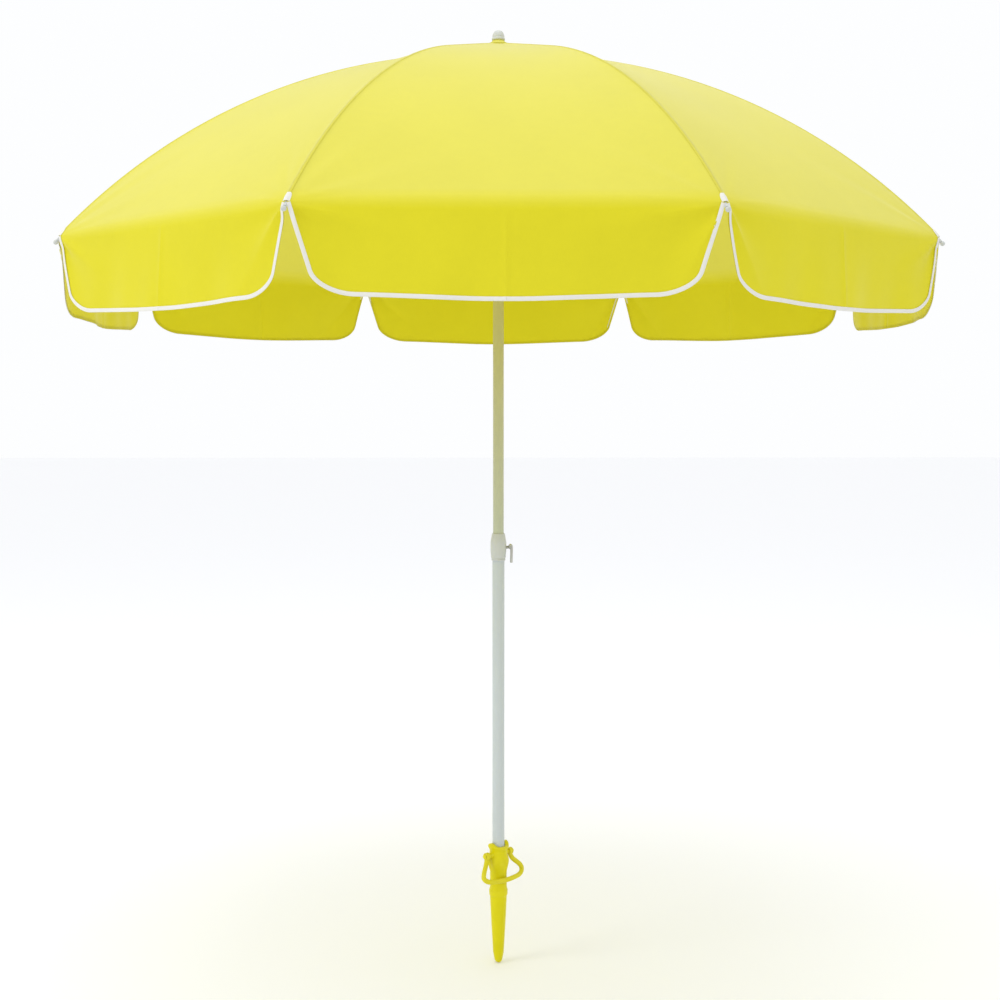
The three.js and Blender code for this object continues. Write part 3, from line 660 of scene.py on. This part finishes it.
def painted_material(name, colour, painted_light_colour=None):
    """Stove enamel on steel tube: orange peel, a few small chips and dusty streaks drawn out
    along the tube. With a painted light colour, the paint runs to it from 0.75 m to 1.5 m up, standing
    in for the canopy's yellow light on the tube."""
    finish = Finish(name)
    place = finish.place()
    streaks = finish.noise(finish.drawn_out(place, (1.0, 1.0, 0.06)), 240.0, 4.0, 0.6)
    peel = finish.noise(place, 420.0, 2.0)
    dust = finish.noise(place, 9.0, 4.0)
    shade = finish.tinted(finish.weighted((streaks, 0.6), (dust, 0.4)), colour, 0.93, 1.05)
    # Painted light: the canopy's yellow light on the upper tube, blended in from 0.75 m to 1.5 m up.
    if painted_light_colour is not None:
        height = finish.axes(place)[2]
        shade = finish.laid(finish.ranged(height, 0.0, 1.0, 0.75, 1.5), shade, (*painted_light_colour, 1))
    chips = finish.ranged(finish.noise(place, 130.0, 6.0, 0.7), 0.0, 1.0, 0.735, 0.75)
    finish.feed(finish.shader, {
        "Base Color": finish.laid(chips, shade, (0.45, 0.45, 0.44, 1)),
        "Roughness": finish.ranged(streaks, 0.26, 0.42),
        "Normal": finish.bump(peel, 0.0001, 0.3), "Coat Weight": 0.25, "Coat Roughness": 0.2})
    return finish.material


def plated_material(name, colour):
    """Dull zinc plate: cloudy patches, fine brushing and darker, rougher spots."""
    finish = Finish(name)
    place = finish.place()
    clouds = finish.noise(place, 70.0, 5.0, 0.6)
    brushing = finish.noise(place, 1200.0, 2.0)
    finish.feed(finish.shader, {
        "Base Color": finish.tinted(clouds, colour, 0.75, 1.25), "Metallic": 0.85,
        "Roughness": finish.ranged(clouds, 0.34, 0.52),
        "Normal": finish.bump(brushing, 0.00005, 0.4)})
    return finish.material


def materials():
    """The finishes, made once and found again by name."""
    scene = bpy.context.scene
    cloth, pole = scene.umbrella_cloth, scene.umbrella_pole
    makers = {
        "Yellow cloth": (cloth_material, cloth.colour, 0.3, True, cloth.painted_top_highlight),
        "Gathered cloth": (cloth_material, cloth.colour, 0.2, False, cloth.painted_top_highlight),
        "Edge tape": (cloth_material, cloth.binding_colour, 0.15, False),
        "Tube enamel": (painted_material, pole.white),
        "Upper tube enamel": (painted_material, pole.upper_paint_in_canopy_light, pole.painted_canopy_light_top),
        "White plastic": (moulded_material, pole.plastic_white, 0.38, 0.25, 0.3, 0.5),
        "Spike plastic": (moulded_material, pole.spike_yellow, 0.34, 0.3, 0.5, 0.18),
        "Zinc plate": (plated_material, pole.zinc),
    }
    return {name: bpy.data.materials.get(name) or make(name, *values)
            for name, (make, *values) in makers.items()}


# ------------------------------------------------------------------ operators
class UMBRELLA_OT_canopy(bpy.types.Operator):
    """Stretch the canopy's cloth over the ribs, one wedge to each rib part"""

    bl_idname = "umbrella.canopy"
    bl_label = "Canopy"

    def execute(self, context):
        cloth = context.scene.umbrella_cloth
        material = materials()["Yellow cloth"]
        upper_rows, lower_rows, fold_rows = 56, 76, 9
        upper = np.linspace(cloth.first_row, ELBOW_AT, upper_rows)
        roll = RIB_LENGTH - cloth.fold
        lower = np.concatenate([np.linspace(ELBOW_AT, roll, lower_rows),
                                np.linspace(roll, RIB_LENGTH, fold_rows)[1:]])
        for k in range(RIBS):
            self.wedge(k, "canopy_upper", f"rib_{k + 1}", upper, 24, 0.14, cloth, material)
            self.wedge(k, "canopy_lower", f"rib_end_{k + 1}", lower, 36, 0.07, cloth, material)
        return {"FINISHED"}

    def wedge(self, k, node, body, rows, columns, keep, cloth, material):
        """The cloth on one rib part. The share keep is not used."""
        s, offset = wedge_grid(rows, columns, cloth)
        points, weave, seams = cloth_at(k, s, offset, cloth)
        piece = add_piece(f"{node}_cloth_{k + 1}", points, grid_faces(*s.shape), material, body,
                          uvs={"Weave": weave, "Seam": seams}, smooth_angle=60)
        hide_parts(f"{node}_{k + 1}")
        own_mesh(piece)


class UMBRELLA_OT_valance(bpy.types.Operator):
    """Hang a half valance on each side of every rib's tip, with white tape on its free edge"""

    bl_idname = "umbrella.valance"
    bl_label = "Valance and binding"

    def execute(self, context):
        cloth = context.scene.umbrella_cloth
        finish = materials()
        for k in range(RIBS):
            for side, hand in HANDS:
                self.half(k, side, hand, cloth, finish)
        return {"FINISHED"}

    def half(self, k, side, hand, cloth, finish):
        """Half a panel: columns shared between its free edge and the panel's middle."""
        body, node = f"hem_{k + 1}", f"valance_{k + 1}"
        depth = valance_rows(cloth)[:, None]
        half = float(rib_line(RIB_LENGTH, cloth.lift)[0]) * math.sin(HALF_STEP)
        share = np.linspace(0, 1, 62)[None]
        edge = valance_edge(depth, cloth)
        distance = edge + (half - edge) * share
        depth = np.broadcast_to(depth, distance.shape)
        points, along, _, start = valance_at(k, side, distance, depth, cloth)
        weave = np.stack([half - distance, RIB_LENGTH + depth], axis=-1)
        seams = np.stack([np.full_like(depth, 1.0), depth], axis=-1)
        flap = add_piece(f"valance_cloth_{k + 1}{hand}", points, grid_faces(*distance.shape),
                         finish["Yellow cloth"], body,
                         uvs={"Weave": weave, "Seam": seams}, smooth_angle=60, flip=side < 0)
        tape = self.binding(k, side, hand, half, cloth, finish, body)
        for piece in (flap, tape):
            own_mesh(piece)
        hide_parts(node)

    def binding(self, k, side, hand, half, cloth, finish, body):
        """White tape on the outside of the free edge: a flat oval carried down the side, round
        the corner and along the hem. Its path is the edge, moved inwards by the edge's normal."""
        down = valance_rows(cloth)[1:]
        along_hem = np.linspace(0, 1, 46)[1:]
        corner = valance_edge(down[-1:], cloth)
        edge = np.concatenate([valance_edge(down, cloth), corner + (half - corner) * along_hem])
        depth = np.concatenate([down, np.full(len(along_hem), cloth.valance_depth)])
        line = np.stack([edge, depth], axis=1)
        tangent = np.gradient(line, axis=0)
        tangent /= np.linalg.norm(tangent, axis=1, keepdims=True)
        overhang, thickness, above = 0.0006, 0.0014, 0.0009
        inset = cloth.binding_width / 2 - overhang
        distance = np.minimum(edge + inset * tangent[:, 1], half)
        depth = depth - inset * tangent[:, 0]
        path, _, facing, _ = valance_at(k, side, distance, depth, cloth, above)
        sides = 12
        points, faces = swept(path, facing, oval(cloth.binding_width, thickness, sides))
        lengths = np.concatenate([[0], np.cumsum(np.linalg.norm(np.diff(path, axis=0), axis=1))])
        around = np.linspace(0, 2 * cloth.binding_width, sides)
        weave = np.stack(np.broadcast_arrays(around[None], lengths[:, None]), axis=-1)
        return add_piece(f"valance_tape_{k + 1}{hand}", points, faces, finish["Edge tape"], body,
                         uvs={"Weave": weave}, smooth_angle=60)


class UMBRELLA_OT_crown_cloth(bpy.types.Operator):
    """Gather the middle of the canopy round the crown's post: radius grows as t^1.3 and height
    falls as (1 - t)^1.7 from the neck to the rim, with 3 and 5 small folds to each rib"""

    bl_idname = "umbrella.crown_cloth"
    bl_label = "Gathered crown cloth"

    def execute(self, context):
        cloth = context.scene.umbrella_cloth
        top, reach = high_of("canopy_cap"), radius_of("canopy_cap")
        out = reach - CROWN[0]
        neck, sleeve_depth, sleeve_inset, over_panels, sides = 0.0115, 0.014, 0.005, 0.0016, 192
        rim = float(rib_line(out, cloth.lift + crown_lift(out, cloth))[1]) + over_panels
        t = np.linspace(0, 1, 36)[:, None]
        radius = neck + (reach - neck) * t**1.3
        height = rim + (top - rim) * (1 - t) ** 1.7
        # under the rim the cloth turns down inside, as a sleeve round the hub
        sleeve = np.linspace(0, 1, 10)[1:, None]
        radius = np.vstack([radius, reach - sleeve_inset * np.sin(sleeve * math.pi / 2)])
        height = np.vstack([height, rim - sleeve_depth * sleeve])
        run = np.linspace(0, 1, len(radius))[:, None]
        angle = np.linspace(0, 2 * math.pi, sides, endpoint=False)[None]
        fold = np.sin(3 * RIBS * angle) + 0.5 * np.sin(5 * RIBS * angle + 1.3)
        depth = 0.0006 * np.sin(math.pi * np.clip(run * 1.1, 0, 1))
        r = radius + depth * fold
        z = height + 0.4 * depth * fold
        points = np.stack([r * np.cos(angle), r * np.sin(angle), z], axis=-1)
        weave = np.stack([radius * angle, run * 0.06 + 0 * angle], axis=-1)
        piece = add_piece("crown_cloth", points, grid_faces(len(radius), sides, close_columns=True),
                          materials()["Gathered cloth"], "upper_pole",
                          uvs={"Weave": weave}, smooth_angle=60)
        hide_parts("canopy_cap")
        return {"FINISHED"}


class UMBRELLA_OT_pole(bpy.types.Operator):
    """Make the two enamelled tubes, the height collar and the finial"""

    bl_idname = "umbrella.pole"
    bl_label = "Pole"

    def execute(self, context):
        finish = materials()
        wall, turned_in, edge_round = 0.001, 0.01, 0.0004
        for node, body, paint in (("lower_tube", "lower_pole", "Tube enamel"),
                                  ("upper_tube", "upper_pole", "Upper tube enamel")):
            outer, low, high = radius_of(node), low_of(node), high_of(node)
            outline = [(outer - wall, low + turned_in), (outer - wall, low), (outer, low),
                       (outer, low + 0.02), (outer, high), (outer - wall, high),
                       (outer - wall, high - turned_in)]
            points, faces = revolved(rounded(outline, edge_round, 2), 64)
            piece = add_piece(f"{node}_enamel", points, faces, finish[paint], body)
            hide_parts(node)
        self.collar(finish)
        self.finial(finish)
        return {"FINISHED"}

    def collar(self, finish):
        """Turned collar: a foot lip, a groove, a swelling body and a taper onto the upper tube."""
        low, high = low_of("height_collar"), high_of("height_collar")
        widest = radius_of("height_collar")
        lower, upper = radius_of("lower_tube") + GAP, radius_of("upper_tube") + GAP
        step = high_of("lower_tube") + GAP
        outline = [(lower, low + 0.006), (lower, low), (lower + 0.0014, low),
                   (lower + 0.0017, low + 0.0035), (lower + 0.0009, low + 0.0041),
                   (lower + 0.0009, low + 0.0049), (lower + 0.0022, low + 0.0058),
                   (widest - 0.0008, low + 0.012), (widest, low + 0.019),
                   (widest, high - 0.018), (widest - 0.001, high - 0.012),
                   (upper + 0.0022, high - 0.003), (upper + 0.0012, high), (upper, high),
                   (upper, step), (lower, step), (lower, low + 0.012)]
        points, faces = revolved(rounded(outline, 0.0016, 4), 72)
        piece = add_piece("height_collar_shell", points, faces, finish["White plastic"], "lower_pole",
                          smooth_angle=32)
        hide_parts("height_collar")

    def finial(self, finish):
        """Domed finial with a bead above its foot."""
        low, high, r = low_of("finial"), high_of("finial"), radius_of("finial")
        bore = 0.0043
        outline = [(bore, low + 0.004), (bore, low), (r - 0.0012, low), (r, low + 0.0016),
                   (r - 0.0003, low + 0.0042), (r - 0.0014, low + 0.0052), (r - 0.0012, low + 0.0085),
                   (r - 0.0030, low + 0.0140), (r - 0.0056, low + 0.0180), (r - 0.0085, low + 0.0194),
                   (0.0, high)]
        inside = [(0.0, high - 0.006), (bore, high - 0.0065)]
        points, faces = revolved(np.vstack([inside, rounded(outline, 0.0012, 4)]), 64)
        piece = add_piece("finial_dome", points, faces, finish["White plastic"], "upper_pole",
                          smooth_angle=45)
        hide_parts("finial")


class UMBRELLA_OT_lock_screw(bpy.types.Operator):
    """Make the lock screw with its threaded shank and hanging lever"""

    bl_idname = "umbrella.lock_screw"
    bl_label = "Lock screw"

    def execute(self, context):
        zinc = materials()["Zinc plate"]
        tip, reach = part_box("lock_screw")[0][0], radius_of("lock_screw")
        neck = radius_of("height_collar") + 0.0058
        shank_radius, thread_height, threads, shank_length = 0.0029, 0.0002, 12, neck + 0.001 - tip
        thread = np.linspace(0, 1, 8 * threads + 1)
        r = shank_radius + thread_height * np.cos(2 * math.pi * threads * thread)
        shank = np.stack([r, shank_length * thread], axis=1)
        outline = np.vstack([[(0, 0)], shank, [(0, shank_length)]])
        points, faces = revolved(outline, 20)
        add_piece("lock_screw_shank", placed(points, (tip, 0, SCREW_Z), (1, 0, 0)), faces, zinc,
                  "screw")
        outline = [(0, 0), (0.0032, 0), (0.0040, 0.0012), (0.0046, 0.0034), (0, 0.0034)]
        points, faces = revolved(rounded(outline, 0.0006, 3), 40)
        add_piece("lock_screw_hub", placed(points, (neck, 0, SCREW_Z), (1, 0, 0)), faces, zinc,
                  "screw")
        # the lever is a bar that leaves the hub upwards, bends over and hangs down
        thick, wide = 0.0054, 0.0072
        hang = reach - thick / 2
        knots = [(neck + 0.0004, 0, SCREW_Z + 0.0018), (hang - 0.0026, 0, SCREW_Z + 0.0042),
                 (hang - 0.0004, 0, SCREW_Z + 0.0020), (hang, 0, SCREW_Z - 0.0050),
                 (hang - 0.0002, 0, SCREW_Z - 0.0160), (hang - 0.0006, 0, SCREW_Z - 0.0315)]
        points, faces = swept(smooth_path(knots, 8), (0, 1, 0), oval(thick, wide, 20))
        lever = add_piece("lock_screw_lever", points, faces, zinc, "screw")
        bevelled(lever, 0.0016, 4)
        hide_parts("lock_screw")
        return {"FINISHED"}


class UMBRELLA_OT_spike(bpy.types.Operator):
    """Mould the ground spike and bend its bail handle"""

    bl_idname = "umbrella.spike"
    bl_label = "Spike and handle"

    def execute(self, context):
        plastic = materials()["Spike plastic"]
        self.spike(plastic)
        self.handle(plastic)
        return {"FINISHED"}

    def spike(self, plastic):
        """Turned body whose rim rises into two ears over the pegs: z changes by
        7.5 mm |cos(a)|^6 - 3 mm at the rim. The wide part has eight shallow flats, and a mould
        line runs down both sides. Two stepped pegs carry the handle."""
        bore = radius_of("lower_tube") + GAP
        tip, top = low_of("ground_spike"), high_of("ground_spike")
        floor = low_of("lower_tube") - GAP
        turn = math.atan2(PEG_AXIS[1], PEG_AXIS[0])
        outline = [(0, tip), (0.0058, tip + 0.0014), (0.0081, tip + 0.006), (0.0112, tip + 0.022),
                   (bore + 0.0025, -0.055), (bore + 0.0048, -0.008), (bore + 0.0062, -0.0055),
                   (bore + 0.0066, 0.0045), (bore + 0.0052, 0.0075), (bore + 0.0046, 0.012),
                   (bore + 0.0047, 0.044), (bore + 0.0072, 0.053), (bore + 0.0092, 0.063),
                   (bore + 0.0082, 0.072), (bore + 0.0056, 0.082), (bore + 0.0053, 0.089),
                   (bore + 0.0078, 0.0945), (bore + 0.0088, top - 0.006), (bore + 0.008, top - 0.0035),
                   (bore, top - 0.0035), (bore, floor), (0.005, floor), (0.005, floor - 0.008),
                   (0, floor - 0.012)]

        def wave(angle, radius, z):
            ear = np.abs(np.cos(angle - turn)) ** 6
            high = smoothstep((z - 0.088) / 0.01) * smoothstep((radius - bore + 0.0005) / 0.001)
            z = z + (0.0075 * ear - 0.003) * high
            radius = radius + 0.0012 * ear * high
            wide = np.exp(-(((z - 0.063) / 0.012) ** 2)) * (radius > bore + 0.001)
            radius = radius - 0.0008 * wide * np.cos(8 * (angle - turn))
            line = np.exp(-((np.sin(angle - turn - math.pi / 2) / 0.02) ** 2))
            outer = (radius > bore + 0.001) | (z < 0)
            return radius + 0.00025 * line * outer, z

        points, faces = revolved(rounded(outline, 0.0022, 4), 144, wave)
        body = add_piece("ground_spike_body", points, faces, plastic, "spike", smooth_angle=50)
        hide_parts("ground_spike")
        reach = 0.039
        for side, hand in HANDS:
            outline = [(0, 0.012), (0.0085, 0.0135), (0.0062, 0.0185), (0.0042, 0.025), (0.0034, 0.0285),
                       (0.0034, reach - 0.0028), (0.005, reach - 0.0026), (0.005, reach - 0.0008),
                       (0.0036, reach), (0, reach)]
            points, faces = revolved(rounded(outline, 0.0012, 3), 32)
            add_piece(f"ground_spike_peg_{hand}", placed(points, (0, 0, PEG_Z), side * PEG_AXIS), faces,
                      plastic, "spike", smooth_angle=45)

    def handle(self, plastic):
        """Bail: a rod carried along a smooth path from eye to eye, and an eye round each peg."""
        eye_at, flare, rod = 0.0312, 0.020, 0.0102
        across = PEG_AXIS
        forward = np.array([PEG_AXIS[1], -PEG_AXIS[0], 0.0])
        half = np.array([(eye_at, 0.0, PEG_Z - 0.0052), (eye_at + 0.005, 0.003, PEG_Z - 0.016),
                         (eye_at + flare - 0.002, 0.012, 0.050), (eye_at + flare, 0.015, 0.040),
                         (eye_at + flare - 0.009, 0.019, 0.033), (eye_at + flare - 0.028, 0.023, 0.031)])
        middle = np.array([(0.0, 0.0245, 0.030)])
        local = np.vstack([half * [-1, 1, 1], middle, half[::-1]])
        knots = local[:, :1] * across + local[:, 1:2] * forward + local[:, 2:] * UP
        points, faces = swept(smooth_path(knots, 9), forward, oval(rod, rod * 0.9, 20))
        loop = add_piece("spike_handle_bail", points, faces, plastic, "handle", smooth_angle=50)
        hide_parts("spike_handle")
        wide, inner, outer = 0.009, 0.0037, 0.0074
        outline = [(inner, -wide / 2), (outer, -wide / 2), (outer, wide / 2), (inner, wide / 2),
                   (inner, -wide / 2 + 0.0001)]
        for side, hand in HANDS:
            points, faces = revolved(rounded(outline, 0.001, 4), 40)
            add_piece(f"spike_handle_eye_{hand}",
                      placed(points, side * eye_at * across + UP * PEG_Z, across), faces, plastic,
                      "handle", smooth_angle=50)


class UMBRELLA_OT_frame_trim(bpy.types.Operator):
    """Finish the ribs, stretchers, runner and crown, and add tip caps, corner patches and the
    runner's ring"""

    bl_idname = "umbrella.frame_trim"
    bl_label = "Frame"

    def execute(self, context):
        finish = materials()
        for node, material in (("crown_hub", "White plastic"), ("runner", "White plastic"),
                               ("crown_ring", "Zinc plate"), ("runner_catch", "Zinc plate")):
            self.paint(node, finish[material])
        # the brackets stand halfway between the crown's ring and the runner's
        runner_z = 2 * BRACKET_Z - CROWN[1]
        angle = np.linspace(0, 2 * math.pi, 97)[:, None]
        path = np.hstack([CROWN[0] * np.cos(angle), CROWN[0] * np.sin(angle), runner_z + 0 * angle])
        wire = 0.0017
        points, faces = swept(path, UP, oval(wire, wire, 8))
        add_piece("runner_ring", points, faces, finish["Zinc plate"], "runner")
        for k in range(RIBS):
            for node in ("rib_inner", "rib_outer", "stretcher"):
                self.paint(f"{node}_{k + 1}", finish["Tube enamel"])
            self.tip_cap(k, finish)
            self.corner_patch(k, context.scene.umbrella_cloth, finish)
        return {"FINISHED"}

    def paint(self, node, material):
        held = frame["nodes"][node]
        held.data.materials.clear()
        held.data.materials.append(material)

    def tip_cap(self, k, finish):
        """Moulded cap on a rib's end: a sleeve with a collar and a round bead."""
        bead_radius = 0.0044
        x, z, slope = rib_line(RIB_LENGTH + CAP_REACH)
        azimuth = rib_azimuth(k)
        direction = outward(azimuth) * math.cos(slope) - UP * math.sin(slope)
        origin = outward(azimuth) * float(x) + UP * float(z)
        angle = np.linspace(-0.42 * math.pi, math.pi / 2, 13)
        bead = bead_radius * np.stack([np.cos(angle), np.sin(angle)], axis=1)
        bead[-1, 0] = 0.0
        outline = np.vstack([[(0, -0.016), (0.0028, -0.016), (0.0028, -0.0045)], bead])
        points, faces = revolved(outline, 28)
        add_piece(f"rib_tip_cap_{k + 1}", placed(points, origin, direction), faces,
                  finish["White plastic"], f"rib_end_{k + 1}", smooth_angle=45)

    def corner_patch(self, k, cloth, finish):
        """Tape sewn over the canopy's corner. Its half width is h sqrt(1 - 0.75 (d / l)^3) at
        d from the rim; it lies 1.2 mm above the cloth on the rib, and lower beside it."""
        above, drop = 0.0012, 12
        s = np.linspace(RIB_LENGTH - PATCH_LENGTH, RIB_LENGTH, 11)[:, None]
        wide = PATCH_WIDTH / 2 * np.sqrt(1 - 0.75 * ((RIB_LENGTH - s) / PATCH_LENGTH) ** 3)
        offset = np.linspace(-1, 1, 15)[None] * wide
        s = np.broadcast_to(s, offset.shape)
        points, weave, _ = cloth_at(k, s, offset, cloth)
        azimuth, slope = rib_azimuth(k), rib_line(RIB_LENGTH + CAP_REACH)[2]
        normal = outward(azimuth) * math.sin(slope) + UP * math.cos(slope)
        drape = (above - drop * offset**2)[..., None]
        patch = add_piece(f"corner_patch_{k + 1}", points + drape * normal, grid_faces(*s.shape),
                          finish["Edge tape"], f"rib_end_{k + 1}", uvs={"Weave": weave})


class UMBRELLA_OT_stage(bpy.types.Operator):
    """Lay the pale floor, hang the soft lights and set up the camera"""

    bl_idname = "umbrella.stage"
    bl_label = "Floor, lights and camera"

    def execute(self, context):
        stage = context.scene.umbrella_stage
        self.floor(stage)
        self.lights(context)
        self.camera(context, stage)
        return {"FINISHED"}

    def floor(self, stage):
        finish = Finish("Pale floor")
        finish.feed(finish.shader, {"Base Color": (*stage.floor_colour, 1), "Roughness": 0.9})
        mesh = bpy.data.meshes.new("floor")
        z, reach = low_of("ground_spike") - 0.0005, 30.0
        mesh.from_pydata([(-reach, -reach, z), (reach, -reach, z), (reach, reach, z),
                          (-reach, reach, z)], [], [(0, 1, 2, 3)])
        mesh.materials.append(finish.material)
        new_object("floor", mesh)

    def lights(self, context):
        world = bpy.data.worlds.new("Studio")
        world.use_nodes = True
        background = world.node_tree.nodes["Background"]
        background.inputs["Color"].default_value = (0.985, 0.992, 1.0, 1)
        background.inputs["Strength"].default_value = 1.0
        context.scene.world = world
        context.scene.view_settings.view_transform = "Standard"
        aimed_at = (0, 0, 1.2)
        for name, size, power, place in (
                ("Key", 2.0, 40, (-3.8, -1.8, 3.2)),
                ("Top", 3.2, 45, (0.0, -0.6, 5.0))):
            light = bpy.data.lights.new(name, "AREA")
            light.size = size
            light.energy = power
            lamp = new_object(name, light)
            lamp.location = place
            aim = np.subtract(aimed_at, place)
            lamp.rotation_euler = (math.atan2(math.hypot(aim[0], aim[1]), -aim[2]), 0,
                                   math.atan2(aim[1], aim[0]) - math.pi / 2)

    def camera(self, context, stage):
        data = bpy.data.cameras.new("Camera")
        data.lens = stage.lens
        data.sensor_width = 36.0
        camera = new_object("Camera", data)
        turn, distance = stage.camera_turn, stage.camera_distance
        camera.location = (distance * math.sin(turn), -distance * math.cos(turn), stage.camera_height)
        camera.rotation_euler = (math.pi / 2 - stage.camera_tilt, 0, turn)
        data.shift_x = 0.0016
        context.scene.camera = camera


class UMBRELLA_PT_panel(bpy.types.Panel):
    bl_label = "Beach umbrella"
    bl_idname = "UMBRELLA_PT_panel"
    bl_space_type = "VIEW_3D"
    bl_region_type = "UI"
    bl_category = "Umbrella"

    def draw(self, context):
        for operator in OPERATORS:
            self.layout.operator(operator.bl_idname)
        for group in (context.scene.umbrella_cloth, context.scene.umbrella_pole,
                      context.scene.umbrella_stage):
            for name in group.__annotations__:
                self.layout.prop(group, name)


OPERATORS = (UMBRELLA_OT_canopy, UMBRELLA_OT_valance, UMBRELLA_OT_crown_cloth, UMBRELLA_OT_pole,
             UMBRELLA_OT_lock_screw, UMBRELLA_OT_spike, UMBRELLA_OT_frame_trim, UMBRELLA_OT_stage)
SETTINGS = (("umbrella_cloth", ClothSettings), ("umbrella_pole", PoleSettings),
            ("umbrella_stage", StageSettings))


def register():
    for _, group in SETTINGS:
        bpy.utils.register_class(group)
    for cls in (*OPERATORS, UMBRELLA_PT_panel):
        bpy.utils.register_class(cls)
    for name, group in SETTINGS:
        setattr(bpy.types.Scene, name, bpy.props.PointerProperty(type=group))


def unregister():
    for name, _ in SETTINGS:
        delattr(bpy.types.Scene, name)
    for cls in (UMBRELLA_PT_panel, *reversed(OPERATORS)):
        bpy.utils.unregister_class(cls)
    for _, group in reversed(SETTINGS):
        bpy.utils.unregister_class(group)


def main():
    register()
    for operator in OPERATORS:
        category, name = operator.bl_idname.split(".")
        getattr(getattr(bpy.ops, category), name)()


if __name__ == "__main__":
    main()
